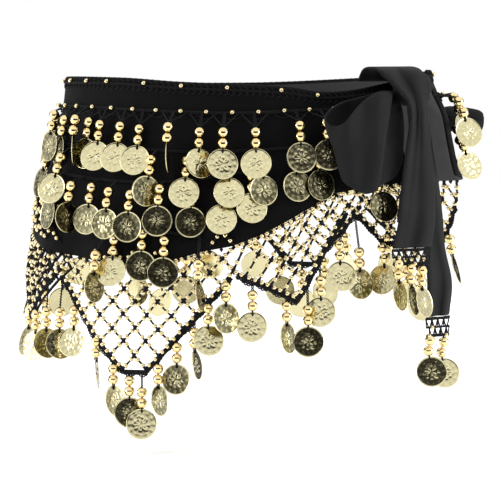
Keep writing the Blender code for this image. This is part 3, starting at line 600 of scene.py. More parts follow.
def new_group(name, inputs, outputs):
    """A shader group with named sockets: its tree, what it is given, its result, and place."""
    kinds = {1: "NodeSocketFloat", 3: "NodeSocketVector", 4: "NodeSocketColor"}
    group = bpy.data.node_groups.new(name, "ShaderNodeTree")
    for title, value in inputs.items():
        socket = group.interface.new_socket(title, in_out="INPUT",
                                            socket_type=kinds[np.size(value)])
        socket.default_value = value
    for title in outputs:
        group.interface.new_socket(title, in_out="OUTPUT",
                                   socket_type=kinds[4 if title == "Color" else 1])
    given = group.nodes.new("NodeGroupInput").outputs
    result = group.nodes.new("NodeGroupOutput").inputs
    return group, given, result, put(group, "ShaderNodeTexCoord").outputs["Object"]


def fibre_group():
    """Short crossing fibres: a height for bump and a shade for colour."""
    group, given, result, place = new_group(
        "Cloth fibre", {"Scale": 900.0, "Stretch": (1.0, 1.0, 1.0), "Mottle": 60.0},
        ("Height", "Shade"))
    stretched = put(group, "ShaderNodeVectorMath", {0: place, 1: given["Stretch"]},
                    operation="MULTIPLY")
    fine = noise(group, stretched.outputs[0], given["Scale"], 2.0, 0.6)
    broad = noise(group, place, given["Mottle"], 3.0, 0.55)
    feed(result["Height"], fine)
    feed(result["Shade"], math_of(group, "ADD", math_of(group, "MULTIPLY", fine, 0.45),
                                  math_of(group, "MULTIPLY", broad, 0.55)))
    return group


def weave_group():
    """Two crossing sets of threads, with the crinkle of a crepe between them."""
    group, given, result, place = new_group(
        "Crepe weave", {"Threads": 900.0, "Crinkle": 350.0}, ("Height",))
    waves = [put(group, "ShaderNodeTexWave", {"Vector": place, "Scale": given["Threads"],
                                              "Distortion": 1.2, "Detail": 1.0},
                 bands_direction=direction).outputs["Fac"] for direction in ("X", "Z")]
    both = math_of(group, "MULTIPLY", math_of(group, "ADD", *waves), 0.35)
    crinkle = noise(group, place, given["Crinkle"], 3.0, 0.65)
    feed(result["Height"], math_of(group, "ADD", both, crinkle))
    return group


def gilt_group():
    """Gilt metal: bright on what stands out, tarnished in what lies low, with fine scuffs; the tone
    input scales that darkening, which on coins is painted shade set by their tilt.
    """
    group, given, result, place = new_group(
        "Worn_and_painted_shade gilt",
        {"Bright": (0.8, 0.7, 0.4, 1.0), "Tarnish_and_painted_shade": (0.2, 0.15, 0.06, 1.0), "Relief": 0.5,
         "Tone": 0.5, "Scuffs": 500.0, "Polish": 0.2},
        ("Color", "Roughness", "Height"))
    scuffs = noise(group, place, given["Scuffs"], 4.0, 0.6)
    blotch = noise(group, place, 110.0, 2.0)
    low = math_of(group, "SUBTRACT", 1.0, given["Relief"])
    patina_and_painted_shade = math_of(group, "MULTIPLY", low, math_of(group, "ADD", 0.60, blotch))
    # The piece's tone scales this darkening: a random tone on beads, painted shade set by tilt on
    # coins.
    patina_and_painted_shade = math_of(group, "MULTIPLY", patina_and_painted_shade, given["Tone"])
    rough = math_of(group, "ADD", given["Polish"], math_of(group, "MULTIPLY", scuffs, 0.08))
    feed(result["Color"], mix_colour(group, patina_and_painted_shade, given["Bright"], given["Tarnish_and_painted_shade"]))
    feed(result["Roughness"], math_of(group, "ADD", rough,
                                      math_of(group, "MULTIPLY", patina_and_painted_shade, 0.07)))
    feed(result["Height"], scuffs)
    return group


def lint_group():
    """Pale lint caught in the cloth, very little of it."""
    group, given, result, place = new_group(
        "Lint", {"Color": (0.01, 0.01, 0.01, 1.0), "Lint colour": (0.10, 0.10, 0.10, 1.0),
                 "Amount": 0.1, "Scale": 700.0}, ("Color",))
    specks = noise(group, place, given["Scale"], 5.0, 0.75)
    caught = put(group, "ShaderNodeMapRange", {"Value": specks, "From Min": 0.62,
                                               "From Max": 0.75})
    factor = math_of(group, "MULTIPLY", caught.outputs[0], given["Amount"])
    feed(result["Color"], mix_colour(group, factor, given["Color"], given["Lint colour"]))
    return group


GROUPS = {"fibre": fibre_group(), "weave": weave_group(), "gilt": gilt_group(),
          "lint": lint_group()}


def use_group(tree, name, values):
    return put(tree, "ShaderNodeGroup", values, node_tree=GROUPS[name]).outputs


def new_finish(name, **constants):
    """A material whose shader's plain sockets hold the given constants."""
    made = bpy.data.materials.new(name)
    made.use_nodes = True
    sockets = made.node_tree.nodes["Principled BSDF"].inputs
    for title, value in constants.items():
        sockets[title.replace("_", " ")].default_value = value
    return made, made.node_tree, sockets


def bump_into(tree, sockets, height, strength, distance):
    bump = put(tree, "ShaderNodeBump", {"Strength": strength, "Distance": distance,
                                        "Height": height})
    feed(sockets["Normal"], bump.outputs["Normal"])


def cloth_finish(name, dark, light, fibres, lint, rough, bump, weave=None, **constants):
    """Pile, yarn or crepe: fibres shade it, they or a weave raise it, and lint lies on it."""
    made, tree, sockets = new_finish(name, **constants)
    fibre = use_group(tree, "fibre", fibres)
    colour = mix_colour(tree, fibre["Shade"], (*dark, 1.0), (*light, 1.0))
    dust = use_group(tree, "lint", {"Color": colour, "Amount": lint[0], "Scale": lint[1]})
    shine = put(tree, "ShaderNodeMapRange", {"Value": fibre["Shade"], "To Min": rough[0],
                                             "To Max": rough[1]})
    feed(sockets["Base Color"], dust["Color"])
    feed(sockets["Roughness"], shine.outputs[0])
    raised = use_group(tree, "weave", weave) if weave else fibre
    bump_into(tree, sockets, raised["Height"], *bump)
    return made


def gilt_finish(name, bright, tarnish_and_painted_shade, scuffs, polish, *bump):
    """Gilt metal that reads each piece's tone, which on coins is painted shade set by their tilt,
    and the height of its relief.
    """
    made, tree, sockets = new_finish(name, Metallic=1.0)
    read = {title: put(tree, "ShaderNodeAttribute", attribute_name=title.lower()).outputs["Fac"]
            for title in ("Relief", "Tone")}
    gilt = use_group(tree, "gilt", {"Bright": (*bright, 1.0), "Tarnish_and_painted_shade": (*tarnish_and_painted_shade, 1.0),
                                    "Scuffs": scuffs, "Polish": polish, **read})
    feed(sockets["Base Color"], gilt["Color"])
    feed(sockets["Roughness"], gilt["Roughness"])
    bump_into(tree, sockets, gilt["Height"], *bump)
    return made


MATT = (0.72, 0.98)
VELVET = cloth_finish(
    "velvet_pile", (0.0016, 0.0015, 0.0016), (0.0056, 0.0054, 0.0058),
    {"Scale": 1300.0, "Stretch": (1.0, 1.0, 0.35), "Mottle": 28.0}, (0.05, 1300.0), MATT,
    (0.5, 0.00025), Sheen_Weight=0.10, Sheen_Roughness=0.35,
    Sheen_Tint=(0.30, 0.29, 0.32, 1.0), Specular_IOR_Level=0.10)
BACKING = cloth_finish(
    "velvet_backing", (0.016, 0.016, 0.017), (0.042, 0.042, 0.044),
    {"Scale": 900.0, "Mottle": 40.0}, (0.12, 900.0), MATT, (0.5, 0.00020),
    Sheen_Weight=0.10, Sheen_Roughness=0.5, Specular_IOR_Level=0.2)
YARN = cloth_finish(
    "crochet_yarn", (0.0022, 0.0022, 0.0024), (0.0085, 0.0085, 0.0095),
    {"Scale": 1600.0, "Mottle": 120.0}, (0.10, 1600.0), MATT, (0.8, 0.00030),
    Sheen_Weight=0.03, Sheen_Roughness=0.4, Specular_IOR_Level=0.28)
CREPE = cloth_finish(
    "crepe", (0.0062, 0.0062, 0.0065), (0.0145, 0.0145, 0.0150),
    {"Scale": 1500.0, "Mottle": 35.0}, (0.10, 1200.0), (0.62, 0.85), (0.35, 0.00012),
    weave={"Threads": 520.0, "Crinkle": 900.0}, Sheen_Weight=0.02, Sheen_Roughness=0.45,
    Sheen_Tint=(0.35, 0.35, 0.37, 1.0), Specular_IOR_Level=0.16)
# The coins' dark colour is both tarnish in their hollows and painted shade on coins that hang
# upright.
COIN_GILT = gilt_finish("coin_gilt", (0.80, 0.73, 0.44), (0.11, 0.10, 0.05), 420.0, 0.12,
                        0.35, 0.00018)
BEAD_GILT = gilt_finish("bead_gilt", (0.88, 0.71, 0.37), (0.32, 0.19, 0.05), 300.0, 0.05,
                        0.12, 0.00008)
SEED_GILT = gilt_finish("seed_bead_gilt", (0.86, 0.72, 0.42), (0.24, 0.15, 0.05), 500.0, 0.11,
                        0.15, 0.00008)
FINISHES = (YARN, COIN_GILT, BEAD_GILT, SEED_GILT, CREPE)
IN_YARN, IN_COIN, IN_BEAD, IN_SEED, IN_CREPE = range(5)


def mesh_object(name, points, faces, finishes):
    """A smooth mesh in the scene."""
    mesh = bpy.data.meshes.new(name)
    mesh.from_pydata(points, [], faces)
    for finish in finishes:
        mesh.materials.append(finish)
    mesh.polygons.foreach_set("use_smooth", np.ones(len(mesh.polygons), bool))
    made = bpy.data.objects.new(name, mesh)
    bpy.context.scene.collection.objects.link(made)
    return made


def seated(made, node):
    """The piece, riding on the root in place of its CAD node."""
    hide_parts(node)
    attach(made, "root")
    return made


# Small things are gathered into one mesh a piece.

class Bundle:
    """Gathers many small forms into one mesh, each face with its finish."""

    def __init__(self):
        self.points = []
        self.faces = []
        self.slots = []
        self.tones_and_painted_shades = []
        self.reliefs = []
        self.count = 0

    # Each piece has a tone: a random one on beads, painted shade set by tilt on coins.
    def add(self, points, faces, slot, tone=0.5, relief=None):
        self.points.append(points)
        self.faces.extend([tuple(int(i) + self.count for i in face) for face in faces])
        self.slots.append(np.full(len(faces), slot))
        self.tones_and_painted_shades.append(np.full(len(points), tone))
        self.reliefs.append(np.full(len(points), 0.9) if relief is None else relief)
        self.count += len(points)

    def piece(self, name, node):
        made = mesh_object(name, np.concatenate(self.points), self.faces, FINISHES)
        mesh = made.data
        mesh.polygons.foreach_set("material_index", np.concatenate(self.slots).astype(np.int32))
        for title, values in (("tone", self.tones_and_painted_shades), ("relief", self.reliefs)):
            attribute = mesh.attributes.new(title, "FLOAT", "POINT")
            attribute.data.foreach_set("value", np.concatenate(values).astype(np.float32))
        mesh.update()
        return seated(made, node)


def ring_faces(rings, around, caps=True):
    """Quads between rings of points, and one face over each end."""
    last = (rings - 1) * around
    faces = []
    for start in range(0, last, around):
        for i in range(around):
            j = (i + 1) % around
            faces.append((start + i, start + j, start + around + j, start + around + i))
    if caps:
        faces.append(tuple(range(around))[::-1])
        faces.append(tuple(range(last, last + around)))
    return faces


def bead_shape(around, rings):
    """A bead of radius 1 round its z axis, with a small dimple at each end of its bore."""
    points = []
    for k in range(rings):
        angle = pi * (0.06 + 0.88 * k / (rings - 1))
        for i in range(around):
            turn = 2 * pi * i / around
            points.append((sin(angle) * cos(turn), sin(angle) * sin(turn), cos(angle)))
    points = np.array(points)
    dimple = points[: around] * (0.5, 0.5, 0.9)
    points = np.concatenate([dimple, points, dimple * (1, 1, -1)])
    relief = np.full(len(points), 0.95)
    relief[:around] = 0.0
    relief[-around:] = 0.0
    return points, ring_faces(rings + 2, around), relief


BIG_BEAD = bead_shape(16, 9)
SEED_BEAD = bead_shape(8, 4)
YARN_KNOT = bead_shape(6, 3)


def directions(axis):
    """Two directions square to an axis and to each other."""
    axis = axis.normalized()
    helper = Vector((0, 0, 1)) if abs(axis.z) < 0.9 else Vector((1, 0, 0))
    side = axis.cross(helper).normalized()
    return side, side.cross(axis).normalized(), axis


def put_bead(bundle, shape, middle, axis, radius, slot, squash=1.0):
    points, faces, relief = shape
    side, depth, axis = directions(axis)
    basis = np.array([side * radius, depth * radius, axis * radius * squash])
    tone = RANDOM.uniform(0.2, 0.9)
    bundle.add(points @ basis + np.array(middle), faces, slot, tone, relief)


LEAVES = ((5.6, 1.5), (4.4, 1.1), (5.2, 1.7), (4.0, 1.2), (5.4, 1.3))


def scroll_lines():
    """The coin's own ornament: a rosette of uneven leaves with a curl between each two, in mm."""
    lines = []
    way = np.linspace(0.0, 2 * pi, 46)
    for k, (length, wide) in enumerate(LEAVES):
        turn = k * 2 * pi / 5 + 0.25 * sin(k * 2.3)
        out = 1.5 + length * (1 - np.cos(way)) / 2
        across = wide * np.sin(way) * np.sin(way / 2)
        lines.append(np.column_stack([out * cos(turn) - across * sin(turn),
                                      out * sin(turn) + across * cos(turn)]))
        start = turn + pi / 5
        curl = np.linspace(0, 4.6, 26)
        size = 1.15 * (1 - curl / 7)
        lines.append(np.column_stack([5.3 * cos(start) + size * np.cos(curl + start),
                                      5.3 * sin(start) + size * np.sin(curl + start)]))
    return np.concatenate(lines)


SCROLL = scroll_lines()
BOSSES = 12
BOSS_RING = 9.9
RIM_AT = 12.0
COIN_HOLE = 10.2
COIN_FRONT_RINGS = (0.4, 1.2, 2.0, 2.7, 3.4, 4.1, 4.8, 5.5, 6.2, 6.9, 7.8, 8.8, 9.4, 9.9, 10.4,
                    11.0, 11.5, 11.85, 12.1, 12.3)
COIN_BACK_RINGS = (12.2, 11.4, 10.2, 8.6, 5.0, 0.8)
COIN_AROUND = 48


def coin_relief(x, y, turn):
    """Height of the coin's pressed face over its plain disc, in mm: rim, bosses and scroll."""
    r = np.hypot(x, y)
    step = 2 * pi / BOSSES
    off = (np.arctan2(y, x) - step / 2 + pi) % step - step / 2
    reach = np.hypot(r - BOSS_RING, r * off)
    across = x * cos(turn) - y * sin(turn)
    along = x * sin(turn) + y * cos(turn)
    apart = np.hypot(across[:, None] - SCROLL[:, 0], along[:, None] - SCROLL[:, 1]).min(1)
    hole = np.exp(-((x / 0.85) ** 4 + ((y + COIN_HOLE) / 0.85) ** 4))
    return (0.30 * bell(r - RIM_AT, 0.38) + 0.36 * bell(reach - 0.75, 0.36)
            + 0.36 * bell(apart, 0.34) - 0.45 * hole)


def coin_shape(pattern_turn):
    """The coin: side, down and face as its axes, in metres, with the relief of each point."""
    turn = np.arange(COIN_AROUND) * 2 * pi / COIN_AROUND
    points = []
    relief = []
    for r in COIN_FRONT_RINGS:
        x, y = r * np.cos(turn), r * np.sin(turn)
        height = coin_relief(x, y, pattern_turn)
        points.append(np.column_stack([x, y, 0.17 + height]))
        relief.append(np.clip(0.15 + height / 0.30, 0, 1))
    for r, z, worn in [(12.4, 0.05, 1.0)] + [(r, -0.27, 0.6) for r in COIN_BACK_RINGS]:
        points.append(np.column_stack([r * np.cos(turn), r * np.sin(turn), z + 0 * turn]))
        relief.append(np.full(COIN_AROUND, worn))
    faces = ring_faces(len(points), COIN_AROUND)
    return np.concatenate(points) * MM, faces, np.concatenate(relief)


COINS = [coin_shape(turn) for turn in (0.0, 0.9, 2.1)]

# How far a coin tilts back, how much more for each degree of its lean, how far from its place
# it may turn for that, and the tilts across which it goes from dark to pale: painted shade on
# coins that hang upright, painted light on those that lean back.
COIN_TILT = radians(4.5)
COIN_TILT_RATE = 1.45
LEAN_IN = radians(5)
LEAN_OUT = radians(13)
PALE_FROM = radians(6)
PALE_AT = radians(13)


def put_coin(bundle, drop):
    """A coin that hangs on its loop, a little bent and leaning as this one does."""
    points, faces, relief = COINS[RANDOM.integers(len(COINS))]
    x, y, z = points.T
    bend, twist = RANDOM.uniform(-0.0005, 0.0005, 2)
    z = z + bend * (x / COIN_RADIUS) ** 2 + twist * x * y / COIN_RADIUS ** 2
    wanted = COIN_TILT + drop.lean * COIN_TILT_RATE
    lean = min(max(wanted - asin(drop.face.z), -LEAN_IN), LEAN_OUT)
    down = (drop.down * cos(lean) + drop.face * sin(lean)).normalized()
    face = (drop.face * cos(lean) - drop.down * sin(lean)).normalized()
    middle = drop.coin + (down - drop.down) * COIN_RADIUS
    placed = np.column_stack([x, y, z]) @ np.array([drop.side, down, face]) + np.array(middle)
    # Painted shade and light: a coin that hangs upright gets a dark tone, one that leans back a
    # pale one.
    tone = 0.28 + 0.72 * fade(wanted, PALE_AT, PALE_FROM) * RANDOM.uniform(0.8, 1.0)
    bundle.add(placed, faces, IN_COIN, tone, relief)
    return middle, down, face


def unit(vectors):
    return vectors / (np.linalg.norm(vectors, axis=-1, keepdims=True) + 1e-12)


def strand(bundle, points, radius, slot=IN_YARN, caps=True):
    """A round strand along points, four-sided, of one radius or one for each point."""
    points = np.asarray(points, float)
    tangents = unit(np.gradient(points, axis=0))
    side = np.cross(tangents[0], (0.0, 0.0, 1.0) if abs(tangents[0][2]) < 0.9 else (1.0, 0.0, 0.0))
    rings = []
    for point, tangent, r in zip(points, tangents, np.broadcast_to(radius, len(points))):
        side = unit(side - tangent * side.dot(tangent))
        depth = np.cross(tangent, side)
        rings.append(point + r * np.array([side, depth, -side, -depth]))
    bundle.add(np.concatenate(rings), ring_faces(len(points), 4, caps), slot)


def resample(points, step):
    """Points evenly along a polyline."""
    points = np.array([tuple(p) for p in points], float)
    lengths = np.concatenate([[0], np.cumsum(np.linalg.norm(np.diff(points, axis=0), axis=1))])
    count = max(2, int(round(lengths[-1] / step)) + 1)
    along = np.linspace(0, lengths[-1], count)
    return np.column_stack([np.interp(along, lengths, points[:, i]) for i in range(3)]), along


def plait(bundle, points, strands, radius, swing, depth, pitch, slot=IN_YARN):
    """Strands plaited along a line: each swings across it and in and out of it."""
    line, along = resample(points, pitch / 6)
    tangents = unit(np.gradient(line, axis=0))
    across = unit(np.cross(tangents, unit(line * (1, 1, 0))))
    outs = np.cross(across, tangents)
    for k in range(strands):
        phase = 2 * pi * (along / pitch + k / strands)
        offset = across * (swing * np.sin(phase))[:, None]
        offset += outs * (depth * np.sin(2 * phase))[:, None]
        strand(bundle, line + offset, radius, slot)


def put_drop(bundle, drop):
    """A drop's crochet stem, two large beads, thread loop and coin."""
    upper, lower = drop.beads
    top = upper - drop.down * BEAD_RADIUS * 0.8
    stem = [drop.root.lerp(top, i / 4) for i in range(5)]
    plait(bundle, stem, *STEM_PLAIT)
    for bead in (upper, lower):
        put_bead(bundle, BIG_BEAD, bead, drop.down, BEAD_RADIUS, IN_BEAD)
    middle, down, face = put_coin(bundle, drop)
    hole = middle - down * COIN_HOLE * MM
    bottom = lower + drop.down * BEAD_RADIUS * 0.75
    angles = [pi * i / 12 for i in range(13)]
    strand(bundle, [bottom.lerp(hole, sin(a)) + face * cos(a) * 0.0011 for a in angles],
           COIN_LOOP)
    put_bead(bundle, YARN_KNOT, hole + face * 0.0008, down, 0.0010, IN_YARN, squash=1.6)


# The cloth.

def sheet(name, node, grid, place, thick, finishes, closed=False):
    """A grid of cloth as a thin shell: thickened half to each side, its edges softened."""
    across, down = grid
    columns = across if closed else across + 1
    points = [place(i / across, j / down) for j in range(down + 1) for i in range(columns)]
    faces = []
    for j in range(down):
        for i in range(across):
            upper = j * columns
            lower = upper + columns
            k = (i + 1) % columns
            faces.append((upper + i, lower + i, lower + k, upper + k))
    made = mesh_object(name, points, faces, finishes)
    solid = made.modifiers.new("cloth", "SOLIDIFY")
    solid.thickness = thick
    solid.offset = 0.0
    if len(finishes) > 1:
        solid.material_offset = 1
    soft = made.modifiers.new("soft edges", "SUBSURF")
    soft.levels = soft.render_levels = 1
    return seated(made, node)


def crease_out(s, z):
    """The velvet's creases, soft and uneven."""
    total = 0.0
    for s_mm, z_mm, length, width, height, slant in VELVET_CREASES:
        ds = s / MM - s_mm
        if abs(ds) > length:
            continue
        dz = z / MM - z_mm
        angle = radians(slant)
        along = ds * cos(angle) + dz * sin(angle)
        across = -ds * sin(angle) + dz * cos(angle) + along * along * 0.004
        total += height * bell(across, width) * bell(along, length * 0.5)
    return float(total) * MM


# The velvet's turned hems: how deep and wide their stitching is, and how far from the edges.
HEM_DEEP = 0.0003
HEM_WIDE = 0.0012
HEM_TOP = 0.006
HEM_LOW = 0.004


def velvet():
    """The velvet panel, with a turned hem along its top and its lower edge."""

    def place(u, v):
        s = PANEL_START + u * (PANEL_END - PANEL_START)
        top = edge(TOP_EDGE, s)
        low = velvet_line(s)
        z = top + (low - top) * v
        hem = -HEM_DEEP * (bell(top - z - HEM_TOP, HEM_WIDE) + bell(z - low - HEM_LOW, HEM_WIDE))
        quiet = fade(top - z, 0.0, 0.012) * fade(z - low, 0.0, 0.010)
        return hip_point(s, z, hem + crease_out(s, z) * quiet * 0.75)

    return sheet("velvet", "velvet_panel", (210, 28), place, VELVET_THICK,
                 (VELVET, BACKING))


EDGING_PITCH = 0.0062
EDGING_ENDS = 0.0008
EDGING_STITCH = ((-0.4, 0.0008, 0.0002), (0.1, -0.0016, 0.0006), (-0.3, -0.0038, 0.0004),
                 (0.2, -0.0056, 0.0005), (-0.4, -0.0074, 0.0002))
EDGING_BEADS = (-166, -137, -94, -56, -12, 39, 74, -199, -236, -281, -322, -371, -416, -462, -509,
                -551, -598, -641, -688, -731)


def top_edging():
    """The crochet edge along the top: a plait, a row of small loops and its seed beads."""
    bundle = Bundle()
    places = np.linspace(PANEL_START + EDGING_ENDS, PANEL_END - EDGING_ENDS, 190)
    line = [hip_point(s, edge(TOP_EDGE, s) + 0.0007) for s in places]
    plait(bundle, line, *EDGE_PLAIT)
    low = [hip_point(s, edge(TOP_EDGE, s) - 0.0032, VELVET_FACE + 0.0005) for s in places]
    plait(bundle, low, *UNDER_PLAIT)
    for i in range(int((PANEL_END - PANEL_START) / EDGING_PITCH)):
        s = PANEL_START + (i + 0.5) * EDGING_PITCH
        top = edge(TOP_EDGE, s)
        loop = [hip_point(s + (k / 6 - 0.5) * EDGING_PITCH, top + 0.0008 + 0.0009 * sin(pi * k / 6))
                for k in range(7)]
        strand(bundle, loop, EDGE_LOOP)
        stitch = [hip_point(s + aside * EDGING_PITCH, top + z, VELVET_FACE + out)
                  for aside, z, out in EDGING_STITCH]
        strand(bundle, resample(stitch, 0.0012)[0], STITCH)
    for s in EDGING_BEADS:
        s *= MM
        middle = hip_point(s, edge(TOP_EDGE, s) - 0.0014, VELVET_FACE + 0.0016)
        put_bead(bundle, SEED_BEAD, middle, hip_frame(s, 0.0)[1], EDGING_BEAD, IN_SEED)
    return bundle.piece("crochet_edging", "top_edging")


# How far out of the cloth's middle a chain, its thread loops and the net on the velvet lie.
CHAIN_OUT = VELVET_FACE + CORD_RADIUS + 5 * SEAM
THREAD_OUT = VELVET_FACE + 0.0007
NET_OUT = VELVET_FACE + 0.0010
FLAT_BEAD = 0.92


def chain(name, line, front, end=(), back_count=0, shift=0.0, beaded=False):
    """A crochet chain on the velvet and its drops; the top one has a row of seed beads."""
    path = chain_path(line)
    drops = row_drops(path, front, end, back_count, shift, CHAIN_OUT)
    bundle = Bundle()
    start = path[0][0]
    finish = path[-1][0]
    cord = [on_path(path, s, CHAIN_OUT) for s in np.arange(start, finish, 0.004)]
    plait(bundle, cord, *CHAIN_PLAIT)
    count = len(path) - 1
    step = (finish - start) / count
    for i in range(count if beaded else 0):
        peak = start + (i + 0.5) * step
        z = edge(line, peak)
        middle = hip_point(peak, z + 0.0006, CHAIN_OUT + 0.0014)
        put_bead(bundle, SEED_BEAD, middle, hip_frame(peak, 0.0)[1], SMALL_BEAD, IN_SEED)
        loop = [hip_point(peak + step * (k / 8 - 0.5), z - 0.0052 * sin(pi * k / 8), THREAD_OUT)
                for k in range(9)]
        strand(bundle, loop, STITCH)
    for drop in drops:
        put_drop(bundle, drop)
        top = drop.beads[0] - drop.down * BEAD_RADIUS * 0.9
        for side in (-1, 1) if beaded else ():
            peak = drop.s + side * step * 0.5
            foot = hip_point(peak, edge(line, peak) - 0.001, THREAD_OUT + 0.0006)
            strand(bundle, resample([foot, foot.lerp(top, 0.55), top], 0.002)[0], PEAK_THREAD)
    return bundle.piece(name + "_of_drops", name)


def net_over_velvet(bundle, left, count):
    """The net's upper rows, which lie on the velvet just above its lower edge."""
    for m in range(-OVER_ROWS, 3):
        for i in range(2 * count + 1):
            for turn in (-1, 1):
                if (i + m) % 2 == 0 or not 0 <= i + turn <= 2 * count:
                    continue
                ends = net_place(left, i, m), net_place(left, i + turn, m + 1)
                (s_0, z_0), (s_1, z_1) = ends
                high = velvet_line(s_0) + OVER_HIGH + OVER_GATHERED * gathered_at(s_0)
                if z_1 < velvet_line(s_1) + 0.001 or z_0 > high:
                    continue
                points = [between(*ends, k / 4, NET_OUT) for k in range(5)]
                strand(bundle, points, OVER_CORD, caps=False)
                for t in (0.31, 0.69):
                    t += RANDOM.uniform(-0.06, 0.06)
                    put_bead(bundle, SEED_BEAD, between(*ends, t, NET_OUT + 0.0011),
                             points[-1] - points[0], SMALL_BEAD, IN_SEED, FLAT_BEAD)


def net(name, left, count, rows):
    """One point of crochet net: cords, knots at the crossings, two seed beads a side."""
    bundle = Bundle()
    sides = {}
    crossings = {}
    for cell in net_cells(left, count, rows):
        for first, second in zip(cell, cell[1:] + cell[:1]):
            sides[tuple(sorted((first, second)))] = True
            crossings[first] = True
    shifts = {key: RANDOM.uniform(-NET_JITTER, NET_JITTER, 2) for key in crossings}

    def at(key):
        s, z, on_edge = net_node(left, *key)
        return (s, z) if on_edge else (s + shifts[key][0], z + shifts[key][1])

    for first, second in sides:
        ends = at(first), at(second)
        if abs(ends[0][1] - ends[1][1]) < LEAST_FALL:
            continue
        sag = RANDOM.uniform(-NET_SAG, NET_SAG)
        points = [between(*ends, k / 9, RANDOM.uniform(-NET_ROUGH, NET_ROUGH), sag)
                  for k in range(10)]
        gathered = gathered_at(ends[0][0])
        thick = NET_CORD + 0.0005 * gathered
        strand(bundle, points, thick + 0.00028 * np.sin(np.arange(10) * 2.4), caps=False)
        axis = points[-1] - points[0]
        if axis.length < LEAST_SIDE:
            continue
        for t in (0.28, 0.72):
            t += RANDOM.uniform(-0.03, 0.03)
            put_bead(bundle, SEED_BEAD, between(*ends, t, 0.0, sag), axis, NET_BEAD, IN_SEED,
                     FLAT_BEAD)
        if gathered > 0.1:
            beside = [(s + NET_PITCH / 2, z) for s, z in ends]
            inner = [between(*beside, k / 4, -0.0016) for k in range(5)]
            strand(bundle, inner, 0.0013 * gathered, caps=False)
    for key in crossings:
        place, along, down, outward = hip_frame(*at(key))
        put_bead(bundle, YARN_KNOT, place, down, 0.0016, IN_YARN, 1.3)
        put_bead(bundle, YARN_KNOT, place + outward * 0.0009, along, 0.0013, IN_YARN)
    net_over_velvet(bundle, left, count)
    return bundle.piece(name + "_cords", name)


def braid(name, left, count, rows, table):
    """The plaited edge under a net point, tied to its diamonds, with its drops."""
    bundle = Bundle()
    path = braid_path(left, count, rows)
    drops = braid_drops(path, left, count, table)
    plait(bundle, [hip_point(s, z) for s, z in path], *BRAID_PLAIT)
    places, heights = np.array(path).T
    stations = np.linspace(places[0], places[-1], 12 * count)
    wavy = [hip_point(s, z - WAVE_HIGH * abs(sin(s * pi / NET_PITCH * WAVE_RATE)), 0.0006)
            for s, z in zip(stations, np.interp(stations, places, heights))]
    plait(bundle, wavy, *WAVY_PLAIT)
    for k in range(rows):
        for i in (k, 2 * count - k):
            s, z, _ = net_node(left, i, k + 1)
            tie = [hip_point(s, z), hip_point(s, z - BRAID_BELOW)]
            strand(bundle, resample(tie, 0.001)[0], TIE)
    for drop in drops:
        put_drop(bundle, drop)
    return bundle.piece(name + "_of_drops", name)


# The line where the loop folds over, and the place where its cloth goes into the knot: x, z.
FOLD_PLACE = (0.1192, -0.011)
FOLD_SLANT = 0.16
PINCH_PLACE = (0.131, -0.004)


def loop_of_crepe():
    """The front loop, folded over at its right and open at its mouth, with its wrinkles."""

    def place(u, v):
        turn = u * 360
        top = edge(LOOP_TOP, turn * MM)
        z = top + (edge(LOOP_BOTTOM, turn * MM) - top) * v
        left, right, depth = (edge(LOOP_SHAPE, z, k) for k in (1, 2, 3))
        x = (left + right) / 2 - (right - left) / 2 * cos(radians(turn))
        front = sin(radians(turn))
        crease = 0.0016 * sin(x * 240) * front
        fan = sin((x * 0.55 - z * 0.16) * 620 + 0.9) * 0.0006 * fade(z, -0.085, -0.03)
        past = x - (FOLD_PLACE[0] + (z - FOLD_PLACE[1]) * FOLD_SLANT)
        fold = 0.0022 * bell(past + 0.004, 0.005)
        fold -= 0.0080 * fade(past, -0.0004, 0.0012) * (1 - 0.4 * fade(past, 0.004, 0.012))
        curl = 0.0028 * fade(past, -0.006, -0.0004) * fade(past, 0.0006, -0.0002)
        curl -= 0.0030 * fade(past, 0.0002, 0.0012) * fade(past, 0.009, 0.002)
        beside, above = x - PINCH_PLACE[0], z - PINCH_PLACE[1]
        pinch = 0.0016 * sin(atan2(above, beside) * 11)
        pinch *= bell(hypot(above, beside) - 0.012, 0.012)
        lift = (fan + fold + pinch) * max(0.0, front) ** 0.6
        x += curl * fade(front, 0.0, 0.5)
        return front_point(x, z, LOOP_OUT + depth * front + crease + lift)

    return sheet("loop_of_crepe", "crepe_loop", (140, 28), place, CREPE_THICK, (CREPE,),
                 closed=True)


def tail_crease(u):
    return TAIL_CREASE * sin(u * pi * TAIL_PLEATS + 0.6)


def tail_sheet(name, rows, node, grid, folds):
    """A tail of crepe, with soft pleats down its length and uneven folds, in mm, over them."""
    numbers = [(i, *row) for i, row in enumerate(rows)]

    def place(u, v):
        at = v * (len(rows) - 1)
        z, left, right, out = (curve_at(numbers, at, k) * MM for k in (1, 2, 3, 4))
        return front_point(left + (right - left) * u, z, out + tail_crease(u) + folds(u, v) * MM)

    return sheet(name, node, grid, place, CREPE_THICK, (CREPE,))


def front_tail_folds(u, v):
    """Folds that start under the knot and die out towards the lace."""
    fan = 0.9 * sin(u * 11 + v * 3.0) * fade(v, 0.25, 0.45) * fade(v, 1.0, 0.7)
    ridge = 1.5 * bell(u - 0.42 - 0.10 * sin(v * 5), 0.09) * fade(v, 0.4, 0.6)
    return fan + ridge + 0.5 * sin(u * 20 + v * 9) * fade(v, 0.55, 0.2)


def back_tail_folds(u, v):
    ridge = 1.1 * bell(u - 0.6 + 0.2 * v, 0.14) * fade(v, 0.0, 0.25)
    return ridge + 0.5 * sin(u * 9 + v * 6 + 1.0)


KNOT_AROUND = 48
KNOT_RINGS = 27


